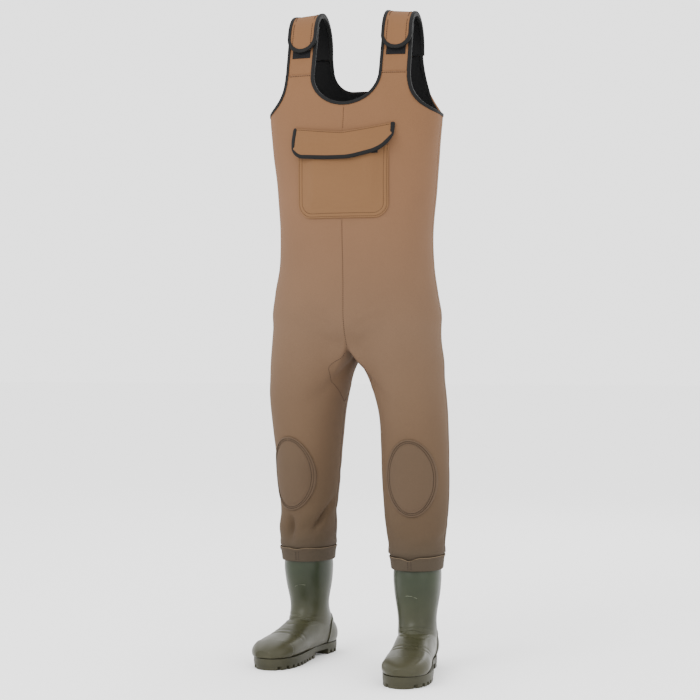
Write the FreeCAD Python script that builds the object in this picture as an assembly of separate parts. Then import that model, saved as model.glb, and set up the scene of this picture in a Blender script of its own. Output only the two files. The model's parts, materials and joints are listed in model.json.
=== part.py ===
"""Neoprene chest waders with rubber boots, standing as worn.

Millimetres, +Z up. The wearer faces -Y, with the wearer's left at +X. Everything is modelled about the
torso's axis, and the last step moves it so that the origin is under the middle of the object, at floor level.
"""
import FreeCAD, Part
import math
import os

V = FreeCAD.Vector

# ---------------------------------------------------------------- sheets, binding and closures
NEOPRENE = 5.0              # thickness of the garment's sheet
POCKET_SHEET = 3.0          # thinner sheet of the pocket, its flap and the knee patches
TAPE = 1.0                  # seam tape glued inside
TAPE_WIDTH = 16.0
CLEARANCE = 0.3             # between pieces that lie on each other
BINDING_WALL = 1.5          # binding outside each face of the sheet that it wraps
BINDING_WIDTH = 8.0         # how far the binding reaches over the sheet
BINDING_OUT = BINDING_WALL + CLEARANCE
HOOK_AND_LOOP = 1.3         # one half of the hook and loop closure

# ---------------------------------------------------------------- neckline, armholes and straps
STRAP_INNER_X = 74.0        # edge beside the neck
STRAP_OUTER_X = 143.0       # edge beside the arm
STRAP_SEAM_Z = 1315.0       # seam of a front panel with its strap
BACK_SEAM_Z = 1375.0        # seam of a back panel with its shoulder strap
NECK_FRONT_Z = 1249.0       # lowest point of the front neckline
NECK_BACK_Z = 1301.0        # lowest point of the back neckline
NECK_BACK_CORNER_R = 44.0
ARMHOLE_SIDE = (202.0, 1231.0)                                         # x and z, where the armhole's halves meet
FRONT_ARMHOLE = [(STRAP_OUTER_X, 1330.0), (158.0, 1261.0), ARMHOLE_SIDE]
BACK_ARMHOLE = [(STRAP_OUTER_X - 3.0, 1380.0), (151.0, 1296.0), ARMHOLE_SIDE]

GUSSET_HALF_WIDTH = 62.0            # sideways, from the middle
GUSSET_HALF_DEPTH = 78.0            # forwards and backwards
GUSSET_TOP_Z = 721.0
GUSSET_SHOULDER_Z = 668.0           # where its sides start to run to a point
GUSSET_LOW_Z = 585.0
TAPE_LOW_Z = 735.0                  # lower end of the tapes up the front and back
INSEAM_TAPE_TOP_Z = 575.0

SHOULDER_Z = (1395.0, 1393.0)       # centre of the curve over the shoulder, at the inner and outer edge
SHOULDER_R = (61.0, 57.0)           # its radius on the front strap's outer face
STRAP_FOOT_Y = (-91.0, -80.5)       # the front strap's outer face at its seam
OVERLAY = 3.9                       # the shoulder strap's inner face above the front strap's outer face
FRONT_STRAP_END_DEG = 144.0         # about the shoulder curve's centre, from the back over the top
TAB_HINGE_DEG = 156.0               # where the tab peels off the front strap
TAB_END_Z = 1366.0                  # lowest point of the tab's rounded end
HINGE_GAP = 1.0                     # slit between a tab or flap and what it turns on

# ---------------------------------------------------------------- chest pocket
POCKET_HALF_WIDTH = 103.0
POCKET_TOP_Z = 1150.0
POCKET_BOTTOM_Z = 991.0
POCKET_CORNER_R = 34.0
POCKET_GAP = 8.0                    # room between the chest and the pocket's sheet
FLAP_HALF_WIDTH = 114.0
FLAP_HINGE_Z = 1172.0
FLAP_SEAM_Z = (1193.0, 1180.0, 1200.0)      # the flap's seam on the chest: right end, middle, left end
FLAP_BOTTOM_Z = 1121.0
FLAP_CORNER_R = 33.0
SEWN_GAP = 0.8                      # the flap's inner face from the chest at its seam
FLAP_OFFSET = 14.0                  # the flap's inner face from the chest, where it hangs over the pocket
STRIP = 1.0                         # thickness of one half of the pocket's hook and loop closure
STRIP_HALF_WIDTH = 82.0
STRIP_Z = (1131.0, 1147.0)          # lower and upper edge of the closure

# ---------------------------------------------------------------- legs, cuffs and boots
KNEE_Z = 423.0
KNEE_HALF_WIDTH = 57.0
KNEE_HALF_HEIGHT = 84.0
CUFF_TOP_Z = 253.0
CUFF_BOTTOM_Z = 222.0
CUFF = 4.0                          # thickness of the cuff's sheet
CUFF_GAP = 1.0                      # between the leg and the cuff
CUFF_FLARE = 1.5                    # how much further its top edge stands out than its foot
LEG_NARROWEST_Z = 247.0             # inside the cuff
CUFF_OPENING = 0.6                  # sideways for each millimetre above the leg's narrowest place
ANKLE_Z = 118.0
SHAFT_TOP_Z = 232.0                 # the leg's sheet stands on it, inside the cuff
SHAFT_OVER = 16.0                   # the shaft's surface carries on this far above its top, to be cut level
RUBBER = 3.0
LINING = 1.5
LINING_GAP = 0.8                    # between the rubber and the lining
SOLE_TOP_Z = 25.0
ARCH_Z = 13.0                       # underside of the sole plate
SOLE_EDGE = 1.5                     # the sole plate's edge inside its outline
INSOLE = 4.0
CAP = 1.5                           # raised toe cap and heel counter of the upper
TOE_CAP = (222.0, 50.0, 55.0)       # centre ahead of the ankle axis, its height, and radius of the cap's edge
HEEL_COUNTER = (-84.0, 34.0, 66.0)

# Torso: height, sideways shift, half width, depth in front of the axis, depth behind it, squareness.
TORSO = [
    (1400.0, 0.0, 178.0, 58.0, 68.0, 4.2),
    (1330.0, 0.0, 186.0, 88.0, 88.0, 3.6),
    (1240.0, 0.0, 196.0, 112.0, 112.0, 2.7),
    (1150.0, 0.0, 189.0, 125.0, 120.0, 2.5),
    (1060.0, 2.0, 182.0, 130.0, 118.0, 2.4),
    (970.0, 2.0, 175.0, 127.0, 110.0, 2.3),
    (890.0, 2.0, 177.0, 121.0, 112.0, 2.3),
    (830.0, 0.0, 187.0, 119.0, 121.0, 2.3),
    (765.0, 0.0, 195.0, 116.0, 124.0, 2.3),
    (722.0, 0.0, 180.0, 96.0, 106.0, 2.3),
    (700.0, 0.0, 125.0, 62.0, 70.0, 2.2),
]

# Legs: height, axis x, axis y, half width, half depth, how far the front turns outwards in degrees.
LEFT_LEG = [
    (830.0, 88.0, 1.0, 84.0, 95.0, 0.0),
    (765.0, 95.0, 0.0, 96.0, 104.0, 0.0),
    (706.0, 99.0, 0.0, 97.0, 108.0, 0.0),
    (652.0, 115.0, -5.0, 87.0, 103.0, 0.0),
    (571.0, 135.0, -18.0, 77.0, 92.0, 1.0),
    (489.0, 143.0, -30.0, 75.0, 80.0, 3.0),
    (423.0, 146.0, -38.0, 75.0, 76.0, 4.0),
    (335.0, 149.0, -49.0, 70.0, 73.0, 4.5),
    (282.0, 151.5, -55.0, 62.0, 69.0, 4.0),
    (247.0, 154.0, -60.0, 54.0, 64.5, 4.0),
    (232.5, 154.6, -61.5, 53.5, 64.0, 4.0),
]
RIGHT_LEG = [
    (830.0, -88.0, 1.0, 84.0, 95.0, 0.0),
    (765.0, -95.0, 3.0, 96.0, 104.0, 1.0),
    (706.0, -99.0, 6.0, 98.0, 108.0, 4.0),
    (652.0, -107.0, 8.0, 93.0, 103.0, 9.0),
    (571.0, -116.0, 13.0, 84.0, 92.0, 15.0),
    (489.0, -117.0, 19.0, 75.0, 80.0, 19.0),
    (423.0, -118.0, 25.0, 70.0, 73.0, 21.0),
    (335.0, -121.0, 32.0, 62.5, 67.5, 19.0),
    (282.0, -124.0, 36.0, 63.0, 68.0, 15.0),
    (247.0, -124.5, 40.0, 54.0, 64.5, 12.0),
    (232.5, -124.3, 40.6, 53.5, 64.0, 12.0),
]

# Boots: ankle axis x and y on the floor, outward turn in degrees, and how far the shaft's top leans
# forwards and outwards from the ankle.
BOOTS = {"left": (158.0, -76.0, 4.0, -16.4, -2.2), "right": (-123.0, 44.0, 12.0, 4.5, 0.4)}

# One boot's upper, as a shaft that runs down into a foot. Each section goes from its back or underside to
# its front or instep, both as distance forward of the ankle axis and height. Then: half width, squareness.
SHAFT = [
    ((-61.8, SHAFT_TOP_Z), (61.8, SHAFT_TOP_Z), 51.4, 2.1),
    ((-62.6, 222.0), (62.6, 222.0), 52.0, 2.1),
    ((-63.8, 210.0), (63.8, 210.0), 52.6, 2.1),
    ((-62.0, 190.0), (62.0, 190.0), 52.0, 2.1),
    ((-57.5, 165.0), (57.5, 165.0), 49.5, 2.1),
    ((-48.5, ANKLE_Z), (49.0, ANKLE_Z), 42.5, 2.1),
    ((-60.0, 95.0), (56.0, 99.0), 42.0, 2.1),
    ((-75.0, 68.0), (60.0, 72.0), 41.5, 2.2),
    ((-82.0, 45.0), (50.0, 45.0), 40.0, 2.3),
]
FOOT = [
    ((-86.0, 24.0), (-86.0, 50.0), 17.0, 2.2),
    ((-76.0, 16.0), (-76.0, 66.0), 31.0, 2.3),
    ((-45.0, 13.0), (-45.0, 88.0), 40.0, 2.5),
    ((0.0, 13.0), (0.0, 104.0), 42.0, 2.5),
    ((40.0, 13.0), (40.0, 96.0), 43.0, 2.5),
    ((75.0, 13.0), (75.0, 82.0), 44.5, 2.5),
    ((110.0, 14.0), (110.0, 70.0), 48.0, 2.6),
    ((150.0, 14.0), (150.0, 62.0), 50.0, 2.7),
    ((182.0, 16.0), (182.0, 55.0), 45.0, 2.6),
    ((204.0, 20.0), (204.0, 47.0), 32.0, 2.5),
    ((214.0, 25.0), (214.0, 40.0), 17.0, 2.3),
]

# The sole's outline: outwards of the boot's middle line, and forwards of the ankle axis.
SOLE = [(0, -92), (29, -80), (37, -50), (37, -5), (41, 35), (50, 85), (53, 125), (48, 172), (25, 208), (-8, 219),
        (-36, 203), (-50, 165), (-50, 125), (-43, 80), (-36, 35), (-35, -5), (-37, -50), (-29, -80)]
HEEL_FRONT = -22.0                  # front face of the heel block
HEEL_BACK = -90.0
FORE_BACK = 36.0                    # where the forefoot's tread starts
FORE_FRONT = 216.0
CLEAT = 11.0                        # width of a tread bar
CLEAT_PITCH = 17.0
CLEAT_HEIGHT = 8.0

SIGN = {"left": 1, "right": -1}
FAR = 600.0                         # beyond the object in every direction from its axis
TOP = 3 * FAR
START_DEG = 37.0                    # sections start here, away from the seams


# ---------------------------------------------------------------- curves and sections
def cubic(table, z):
    """The table's row at height z: a smooth curve through its rows, which run from the top down."""
    last = len(table) - 1
    i = min(max(sum(1 for row in table if row[0] >= z) - 1, 0), last - 1)
    above, below = table[i], table[i + 1]
    span = below[0] - above[0]
    t = (z - above[0]) / span

    def slope(k, column):
        a, b = table[max(k - 1, 0)], table[min(k + 1, last)]
        return (b[column] - a[column]) / (b[0] - a[0]) * span

    row = []
    for c in range(1, len(above)):
        p, q, m, n = above[c], below[c], slope(i, c), slope(i + 1, c)
        row.append((2 * t ** 3 - 3 * t ** 2 + 1) * p + (t ** 3 - 2 * t ** 2 + t) * m
                   + (3 * t ** 2 - 2 * t ** 3) * q + (t ** 3 - t ** 2) * n)
    return row


def torso_row(z):
    shift, half_width, front, back, square = cubic(TORSO, z)
    return shift, 0.0, half_width, front, back, square, 0.0


def leg_row(side):
    table = LEFT_LEG if side == "left" else RIGHT_LEG

    def row(z):
        x, y, half_width, half_depth, turn = cubic(table, z)
        return x, y, half_width, half_depth, half_depth, 2.15, math.radians(SIGN[side] * turn)
    return row


def closed_curve(points):
    curve = Part.BSplineCurve()
    curve.interpolate(Points=points, PeriodicFlag=True)
    return Part.Wire([curve.toShape()])


def power(value, exponent):
    return math.copysign(abs(value) ** exponent, value)


def level_section(row, z, offset, count=20):
    """The closed curve of a row at height z, moved outwards by offset."""
    cx, cy, half_width, front, back, square, turn = row(z)
    c, s = math.cos(turn), math.sin(turn)
    points = []
    for i in range(count):
        angle = math.radians(START_DEG) + 2 * math.pi * i / count
        depth = (front if math.cos(angle) > 0 else back) + offset
        x = (half_width + offset) * power(math.sin(angle), 2 / square)
        y = -depth * power(math.cos(angle), 2 / square)
        points.append(V(cx + x * c - y * s, cy + x * s + y * c, z))
    return closed_curve(points)


def loft(wires):
    shape = Part.makeLoft(wires, True, False)
    return shape if shape.ShapeType == "Solid" else shape.Solids[0]


def bulk(row, offset, heights=None):
    """The solid inside a row's surface. offset is a distance, or a function of height."""
    distance = offset if callable(offset) else lambda z: offset
    return loft([level_section(row, z, distance(z)) for z in heights or heights_of(row)])


def heights_of(row):
    return [r[0] for r in (TORSO if row is torso_row else LEFT_LEG)]


def steps(z0, z1, step=9.0):
    count = max(3, math.ceil((z1 - z0) / step) + 1)
    return [z0 + (z1 - z0) * i / (count - 1) for i in range(count)]


def layer(row, z0, z1, inner, outer):
    """A sheet that follows a row's surface between two offsets from it, and between two heights."""
    between = box(-FAR, FAR, -FAR, FAR, z0, z1)
    return bulk(row, outer).common(between).cut(bulk(row, inner))


# ---------------------------------------------------------------- cutting tools
def line(a, b):
    return Part.LineSegment(a, b).toShape()


def arc(a, b, c):
    return Part.Arc(a, b, c).toShape()


def slab(edges, direction):
    return Part.Face(Part.Wire(edges)).extrude(direction)


def polygon(points, direction):
    return Part.Face(Part.makePolygon(points + points[:1])).extrude(direction)


def box(x0, x1, y0, y1, z0, z1):
    return Part.makeBox(x1 - x0, y1 - y0, z1 - z0, V(x0, y0, z0))


def apron(half_width, z0, z1, radius):
    """An upright face with rounded lower corners, in the plane of the torso's axis."""
    k = radius * (1 - math.sqrt(0.5))
    w, r = half_width, radius
    p = lambda x, z: V(x, 0, z)
    edges = [
        line(p(-w, z1), p(-w, z0 + r)),
        arc(p(-w, z0 + r), p(-w + k, z0 + k), p(-w + r, z0)),
        line(p(-w + r, z0), p(w - r, z0)),
        arc(p(w - r, z0), p(w - k, z0 + k), p(w, z0 + r)),
        line(p(w, z0 + r), p(w, z1)),
        line(p(w, z1), p(-w, z1)),
    ]
    return Part.Face(Part.Wire(edges))


def in_front(face):
    return face.extrude(V(0, -FAR, 0))


def behind(face):
    return face.extrude(V(0, FAR, 0))


def oval(x, y, z, half_width, half_height, direction):
    """An upright oval prism that starts at a point and runs along a level direction."""
    across = V(-direction.y, direction.x, 0)
    points = []
    for i in range(12):
        angle = 2 * math.pi * (i + 0.5) / 12
        points.append(V(x, y, z) + across * (half_width * math.sin(angle)) + V(0, 0, half_height * math.cos(angle)))
    return Part.Face(closed_curve(points)).extrude(direction * FAR)


def neck_front(margin):
    """The face that the front neckline takes away. A margin widens it."""
    half = STRAP_INNER_X + margin
    drop = STRAP_SEAM_Z - NECK_FRONT_Z + margin
    curve = Part.ArcOfEllipse(Part.Ellipse(V(0, 0, 0), half, drop), math.pi, 2 * math.pi).toShape()
    curve.rotate(V(0, 0, 0), V(1, 0, 0), 90)
    curve.translate(V(0, 0, STRAP_SEAM_Z))
    p = lambda x, z: V(x, 0, z)
    edges = [curve, line(p(half, STRAP_SEAM_Z), p(half, TOP)), line(p(half, TOP), p(-half, TOP)),
             line(p(-half, TOP), p(-half, STRAP_SEAM_Z))]
    return Part.Face(Part.Wire(edges))


def neck_back(margin):
    return apron(STRAP_INNER_X + margin, NECK_BACK_Z - margin, TOP, NECK_BACK_CORNER_R + margin)


def armhole(sign, path, margin):
    """The face that one half of an armhole takes away, along a path of three points."""
    p = lambda x, z: V(sign * x, 0, z)
    (xa, za), (xb, zb), (xc, zc) = path
    lean = margin * math.sqrt(0.5)
    start, side = p(xa - margin, za), p(xc, zc - margin)
    curve = Part.BSplineCurve()
    curve.interpolate(Points=[start, p(xb - lean, zb - lean), side], InitialTangent=p(0, -1),
                      FinalTangent=p(1, -0.3))
    edges = [curve.toShape(), line(side, p(FAR, side.z)), line(p(FAR, side.z), p(FAR, TOP)),
             line(p(FAR, TOP), p(xa - margin, TOP)), line(p(xa - margin, TOP), start)]
    return Part.Face(Part.Wire(edges))


def all_openings(margin):
    cuts = [in_front(neck_front(margin)), behind(neck_back(margin))]
    for sign in SIGN.values():
        cuts += [in_front(armhole(sign, FRONT_ARMHOLE, margin)), behind(armhole(sign, BACK_ARMHOLE, margin))]
    return cuts


def above_seams():
    return [box(-FAR, FAR, -FAR, 0, STRAP_SEAM_Z, TOP), box(-FAR, FAR, 0, FAR, BACK_SEAM_Z, TOP)]


def seam_spine(side):
    """Heights and y of the seam between the front and back panels, which follows the leg's axis."""
    row = leg_row(side)
    leg = [r[0] for r in LEFT_LEG if r[0] < TORSO[-1][0]]
    return [(TOP, 0.0), (TORSO[-1][0], 0.0)] + [(z, row(z)[1]) for z in leg + [leg[-1] - 50.0]]


def seam_slab(side, half_width, x0, x1):
    """A slab around the seam between the front and back panels."""
    spine = seam_spine(side)
    outline = [V(x0, y - half_width, z) for z, y in spine] + [V(x0, y + half_width, z) for z, y in reversed(spine)]
    return polygon(outline, V(x1 - x0, 0, 0))


def half_prism(side, forward):
    """Everything of one side that is in front of its seam, or behind it."""
    spine = seam_spine(side)
    x0 = 0.0 if side == "left" else -FAR
    reach = -FAR if forward else FAR
    outline = [V(x0, y, z) for z, y in spine] + [V(x0, reach, spine[-1][0]), V(x0, reach, TOP)]
    return polygon(outline, V(FAR, 0, 0))


def gusset_prism():
    """The space of the gusset: square above, pointed below, seen from the side."""
    half, top, shoulder, low = GUSSET_HALF_DEPTH, GUSSET_TOP_Z, GUSSET_SHOULDER_Z, GUSSET_LOW_Z
    p = lambda y, z: V(-GUSSET_HALF_WIDTH, y, z)
    bulge_y, bulge_z = half * 0.62, low + (shoulder - low) * 0.45
    edges = [line(p(-half, top), p(half, top)), line(p(half, top), p(half, shoulder)),
             arc(p(half, shoulder), p(bulge_y, bulge_z), p(0, low)),
             arc(p(0, low), p(-bulge_y, bulge_z), p(-half, shoulder)),
             line(p(-half, shoulder), p(-half, top))]
    return slab(edges, V(2 * GUSSET_HALF_WIDTH, 0, 0))


# ---------------------------------------------------------------- garment
def whole_body(offset, over=0.0):
    """Torso and legs as one solid. over lengthens the legs; the crotch keeps the sheet's thickness."""
    torso = bulk(torso_row, offset, heights_of(torso_row)[:-1] + [TORSO[-1][0] - offset])
    heights = [r[0] for r in LEFT_LEG[:-1]] + [LEFT_LEG[-1][0] - over]
    legs = [bulk(leg_row(side), offset, heights) for side in SIGN]
    return torso.fuse(legs)


def panels():
    shell = whole_body(0.0).cut(whole_body(-NEOPRENE, 3.0)).cut(above_seams())
    gusset = shell.common(gusset_prism())
    body = shell.cut([gusset_prism()] + all_openings(BINDING_OUT))
    made = {"crotch_gusset": gusset}
    for side in SIGN:
        made[f"front_{side}_panel"] = body.common(half_prism(side, True))
        made[f"back_{side}_panel"] = body.common(half_prism(side, False))
    return made


def seam_tapes():
    """Tapes glued over the seams inside the garment."""
    face = -NEOPRENE - CLEARANCE
    skin = whole_body(face, 3.0).cut(whole_body(face - TAPE, 6.0))
    half = TAPE_WIDTH / 2
    clear = BINDING_WIDTH + 1.0
    low = TAPE_LOW_Z
    made = {
        "front_seam_tape": skin.common(box(-half, half, -FAR, 0, low, NECK_FRONT_Z - clear)),
        "back_seam_tape": skin.common(box(-half, half, 0, FAR, low, NECK_BACK_Z - clear)),
    }
    for side, sign in SIGN.items():
        low, leg_top = SHAFT_TOP_Z + 3, INSEAM_TAPE_TOP_Z
        x = sorted((sign * 60.0, sign * FAR))
        outer = skin.common(seam_slab(side, half, *x)).common(box(-FAR, FAR, -FAR, FAR, low, ARMHOLE_SIDE[1] - clear))
        legs = cubic(LEFT_LEG if side == "left" else RIGHT_LEG, 400.0)
        outside = sorted((legs[0], sign * FAR))
        inside = sorted((legs[0], 0.0))
        made[f"{side}_side_seam_tape"] = outer.common(box(outside[0], outside[1], -FAR, FAR, 0, TOP))
        inner = skin.common(seam_slab(side, half, *inside))
        made[f"{side}_inseam_tape"] = inner.common(box(-FAR, FAR, -FAR, FAR, low, leg_top))
    return made


def bound_edge(face, extrude, z0, z1):
    """Binding along an opening's edge: a channel that wraps the sheet without touching it."""
    band = extrude(face(BINDING_WIDTH).cut(face(0.0)))
    slot = extrude(face(BINDING_WIDTH + 1).cut(face(BINDING_WALL)))
    thick = layer(torso_row, z0, z1, -NEOPRENE - BINDING_OUT, BINDING_OUT)
    room = layer(torso_row, z0 - 1, z1 + 1, -NEOPRENE - CLEARANCE, CLEARANCE)
    return thick.common(band).cut(room.common(slot))


def body_bindings():
    made = {
        "front_neck_binding": bound_edge(neck_front, in_front, 1225.0, STRAP_SEAM_Z),
        "back_neck_binding": bound_edge(neck_back, behind, 1280.0, BACK_SEAM_Z),
    }
    for side, sign in SIGN.items():
        front = bound_edge(lambda m: armhole(sign, FRONT_ARMHOLE, m), in_front, 1205.0, STRAP_SEAM_Z)
        back = bound_edge(lambda m: armhole(sign, BACK_ARMHOLE, m), behind, 1205.0, BACK_SEAM_Z)
        made[f"{side}_armhole_binding"] = front.fuse(back)
    return made


# ---------------------------------------------------------------- straps over the shoulder
def arch(sign, x0, x1, inner, outer, start, end):
    """A band over the shoulder between two distances from the neck, and two offsets from the front strap's face.

    start is "back" at the back seam, or degrees about the shoulder curve's centre. end is "front" at the front
    seam, or degrees.
    """
    wires = []
    for x in (x0, x1):
        t = (x - STRAP_INNER_X) / (STRAP_OUTER_X - STRAP_INNER_X)
        mix = lambda pair: pair[0] + (pair[1] - pair[0]) * t
        cz, r, foot_y = mix(SHOULDER_Z), mix(SHOULDER_R), mix(STRAP_FOOT_Y)
        px = sign * x
        dy, dz = foot_y, STRAP_SEAM_Z - cz
        tangent = math.atan2(dz, dy) + 2 * math.pi - math.acos(r / math.hypot(dy, dz))
        point = lambda offset, a: V(px, (r + offset) * math.cos(a), cz + (r + offset) * math.sin(a))
        first = 0.0 if start == "back" else math.radians(start)
        last = tangent if end == "front" else math.radians(end)
        middle = (first + last) / 2
        along = V(0, foot_y, STRAP_SEAM_Z) - V(0, r * math.cos(tangent), cz + r * math.sin(tangent))

        def foot(offset):
            top = point(offset, tangent)
            return top + along * ((STRAP_SEAM_Z - top.z) / along.z)

        a, b = point(outer, first), point(outer, last)
        c, d = point(inner, last), point(inner, first)
        edges = [arc(a, point(outer, middle), b)]
        if end == "front":
            edges += [line(b, foot(outer)), line(foot(outer), foot(inner)), line(foot(inner), c)]
        else:
            edges += [line(b, c)]
        edges.append(arc(c, point(inner, middle), d))
        if start == "back":
            low = lambda p: V(p.x, p.y, BACK_SEAM_Z)
            edges += [line(d, low(d)), line(low(d), low(a)), line(low(a), a)]
        else:
            edges.append(line(d, a))
        wires.append(Part.Wire(edges))
    shape = Part.makeLoft(wires, True, True)
    return shape if shape.ShapeType == "Solid" else shape.Solids[0]


def strap(sign, bottom, top, start, end):
    """A strap's sheet and the binding along its two long edges."""
    x0, x1 = STRAP_INNER_X, STRAP_OUTER_X
    sheet = arch(sign, x0 + BINDING_OUT, x1 - BINDING_OUT, bottom, top, start, end)
    room = arch(sign, x0 + BINDING_WALL, x1 - BINDING_WALL, bottom - CLEARANCE, top + CLEARANCE, start, end)
    edges = [arch(sign, a, b, bottom - BINDING_OUT, top + BINDING_OUT, start, end).cut(room)
             for a, b in ((x0, x0 + BINDING_WIDTH), (x1 - BINDING_WIDTH, x1))]
    return sheet, Part.makeCompound(edges)


def tab_outline(sign, margin):
    """An upright prism along Y that holds a tab with its rounded end, margin inside the tab's edge."""
    x0, x1 = STRAP_INNER_X + margin, STRAP_OUTER_X - margin
    middle, radius = (x0 + x1) / 2, (x1 - x0) / 2
    low = TAB_END_Z + margin
    k = math.sqrt(0.5)
    p = lambda x, z: V(sign * x, 0, z)
    spring = low + radius
    edges = [arc(p(x0, spring), p(middle - radius * k, spring - radius * k), p(middle, low)),
             arc(p(middle, low), p(middle + radius * k, spring - radius * k), p(x1, spring)),
             line(p(x1, spring), p(x1, TOP)), line(p(x1, TOP), p(x0, TOP)), line(p(x0, TOP), p(x0, spring))]
    return slab(edges, V(0, -FAR, 0))


def shoulder_parts():
    made = {}
    x0, x1 = STRAP_INNER_X, STRAP_OUTER_X
    low, high = OVERLAY, OVERLAY + NEOPRENE
    mean_r = sum(SHOULDER_R) / 2 + high
    slit = math.degrees(HINGE_GAP / 2 / mean_r)
    for side, sign in SIGN.items():
        sheet, binding = strap(sign, -NEOPRENE, 0.0, FRONT_STRAP_END_DEG, "front")
        made[f"{side}_front_strap"] = sheet
        made[f"{side}_front_strap_binding"] = binding
        sheet, binding = strap(sign, low, high, "back", TAB_HINGE_DEG - slit)
        made[f"{side}_shoulder_strap"] = sheet
        made[f"{side}_shoulder_strap_binding"] = binding
        start = TAB_HINGE_DEG + slit
        whole = arch(sign, x0, x1, low, high, start, "front")
        made[f"{side}_strap_tab"] = whole.common(tab_outline(sign, BINDING_OUT))
        thick = arch(sign, x0, x1, low - BINDING_OUT, high + BINDING_OUT, start, "front")
        room = arch(sign, x0, x1, low - CLEARANCE, high + CLEARANCE, start - 1, "front")
        rim = thick.common(tab_outline(sign, 0.0)).cut(tab_outline(sign, BINDING_WIDTH))
        made[f"{side}_tab_binding"] = rim.cut(room.common(tab_outline(sign, BINDING_WALL)))
        inset = BINDING_WIDTH + 5.0
        patch = arch(sign, x0 + inset, x1 - inset, CLEARANCE, CLEARANCE + HOOK_AND_LOOP, start + 2, "front")
        made[f"{side}_loop_patch"] = patch.common(box(-FAR, FAR, -FAR, 0, TAB_END_Z - 12, TOP))
        hook = arch(sign, x0 + inset, x1 - inset, low - CLEARANCE - HOOK_AND_LOOP, low - CLEARANCE, start + 2, "front")
        made[f"{side}_hook_patch"] = hook.common(tab_outline(sign, BINDING_WIDTH + 2.0))
    return made


def tab_hinge(sign):
    """Two points of a tab's hinge line, on the binding's outer face."""
    angle = math.radians(TAB_HINGE_DEG)
    ends = []
    for x, cz, r in zip((STRAP_INNER_X, STRAP_OUTER_X), SHOULDER_Z, SHOULDER_R):
        reach = r + OVERLAY + NEOPRENE + BINDING_OUT
        ends.append(V(sign * x, reach * math.cos(angle), cz + reach * math.sin(angle)))
    return ends


# ---------------------------------------------------------------- pocket
def flap_offset(z):
    """The flap's inner face from the chest: sewn down at the top, standing over the pocket below."""
    low, high = POCKET_TOP_Z + 2.0, max(FLAP_SEAM_Z)
    t = min(max((z - low) / (high - low), 0.0), 1.0)
    return FLAP_OFFSET - (FLAP_OFFSET - SEWN_GAP) * t * t * (3 - 2 * t)


def flap_layer(inner, outer):
    z0, z1 = FLAP_BOTTOM_Z - 8, max(FLAP_SEAM_Z) + 4
    outside = bulk(torso_row, lambda z: flap_offset(z) + outer, steps(z0, z1))
    return outside.cut(bulk(torso_row, lambda z: flap_offset(z) + inner, steps(z0 - 1, z1 + 1)))


def pocket_parts():
    w, top, low, r = POCKET_HALF_WIDTH, POCKET_TOP_Z, POCKET_BOTTOM_Z, POCKET_CORNER_R
    outer = POCKET_GAP + POCKET_SHEET
    block = layer(torso_row, low - 5, top + 5, CLEARANCE, outer).common(in_front(apron(w, low, top, r)))
    hollow = layer(torso_row, low - 6, top + 6, -10.0, POCKET_GAP)
    pouch = apron(w - POCKET_SHEET, low + POCKET_SHEET, top + 5, r - POCKET_SHEET)
    room = hollow.common(in_front(pouch))
    z0, z1 = STRIP_Z
    closure = box(-STRIP_HALF_WIDTH, STRIP_HALF_WIDTH, -FAR, 0, z0, z1)
    loop = layer(torso_row, z0 - 5, z1 + 5, outer + CLEARANCE, outer + CLEARANCE + STRIP)
    hook = layer(torso_row, z0 - 5, z1 + 5, FLAP_OFFSET - CLEARANCE - STRIP, FLAP_OFFSET - CLEARANCE)
    w, low, r = FLAP_HALF_WIDTH, FLAP_BOTTOM_Z, FLAP_CORNER_R
    slit = HINGE_GAP / 2
    below = box(-FAR, FAR, -FAR, 0, 0, FLAP_HINGE_Z - slit)
    sheet = flap_layer(0.0, POCKET_SHEET)
    thick = flap_layer(-BINDING_OUT, POCKET_SHEET + BINDING_OUT).common(below)
    space = flap_layer(-CLEARANCE, POCKET_SHEET + CLEARANCE)
    outline = lambda margin: in_front(apron(w - margin, low + margin, TOP, r - margin))
    right, middle, left = FLAP_SEAM_Z
    seam_prism = polygon([V(-w, 0, FLAP_HINGE_Z + slit), V(w, 0, FLAP_HINGE_Z + slit), V(w, 0, left),
                          V(0, 0, middle), V(-w, 0, right)], V(0, -FAR, 0))
    rim = thick.common(outline(0.0)).cut(outline(BINDING_WIDTH))
    return {
        "pocket_front": block.cut(room),
        "pocket_loop_strip": loop.common(closure),
        "pocket_flap": sheet.common(below).common(outline(BINDING_OUT)),
        "pocket_flap_binding": rim.cut(space.common(outline(BINDING_WALL))),
        "flap_hook_strip": hook.common(closure),
        "flap_seam_strip": sheet.common(seam_prism),
    }


# ---------------------------------------------------------------- knees and cuffs
def knee_pad(side):
    row = leg_row(side)
    x, y, _, _, _, _, turn = row(KNEE_Z)
    ahead = V(math.sin(turn), -math.cos(turn), 0)
    z0, z1 = KNEE_Z - KNEE_HALF_HEIGHT - 10, KNEE_Z + KNEE_HALF_HEIGHT + 10
    sheet = layer(row, z0, z1, CLEARANCE, CLEARANCE + POCKET_SHEET)
    return sheet.common(oval(x, y, KNEE_Z, KNEE_HALF_WIDTH, KNEE_HALF_HEIGHT, ahead))


def cuff(side):
    """The band over the joint of leg and boot: close at its foot, flaring to its folded top edge."""
    def face(offset):
        flare = lambda z: offset + CUFF_FLARE * (z - CUFF_BOTTOM_Z) / (CUFF_TOP_Z - CUFF_BOTTOM_Z)
        return bulk(cuff_row(side), flare, steps(CUFF_BOTTOM_Z, CUFF_TOP_Z))
    return face(CUFF_GAP + CUFF).cut(face(CUFF_GAP))


def cuff_row(side):
    """The leg's lower end, carried on straight below it and above its narrowest place."""
    row = leg_row(side)

    def follow(z):
        at = list(row(min(max(z, LEFT_LEG[-1][0]), LEG_NARROWEST_Z)))
        over = max(0.0, z - LEG_NARROWEST_Z)
        return at[:2] + [half + over * CUFF_OPENING for half in at[2:5]] + at[5:]
    return follow


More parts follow.
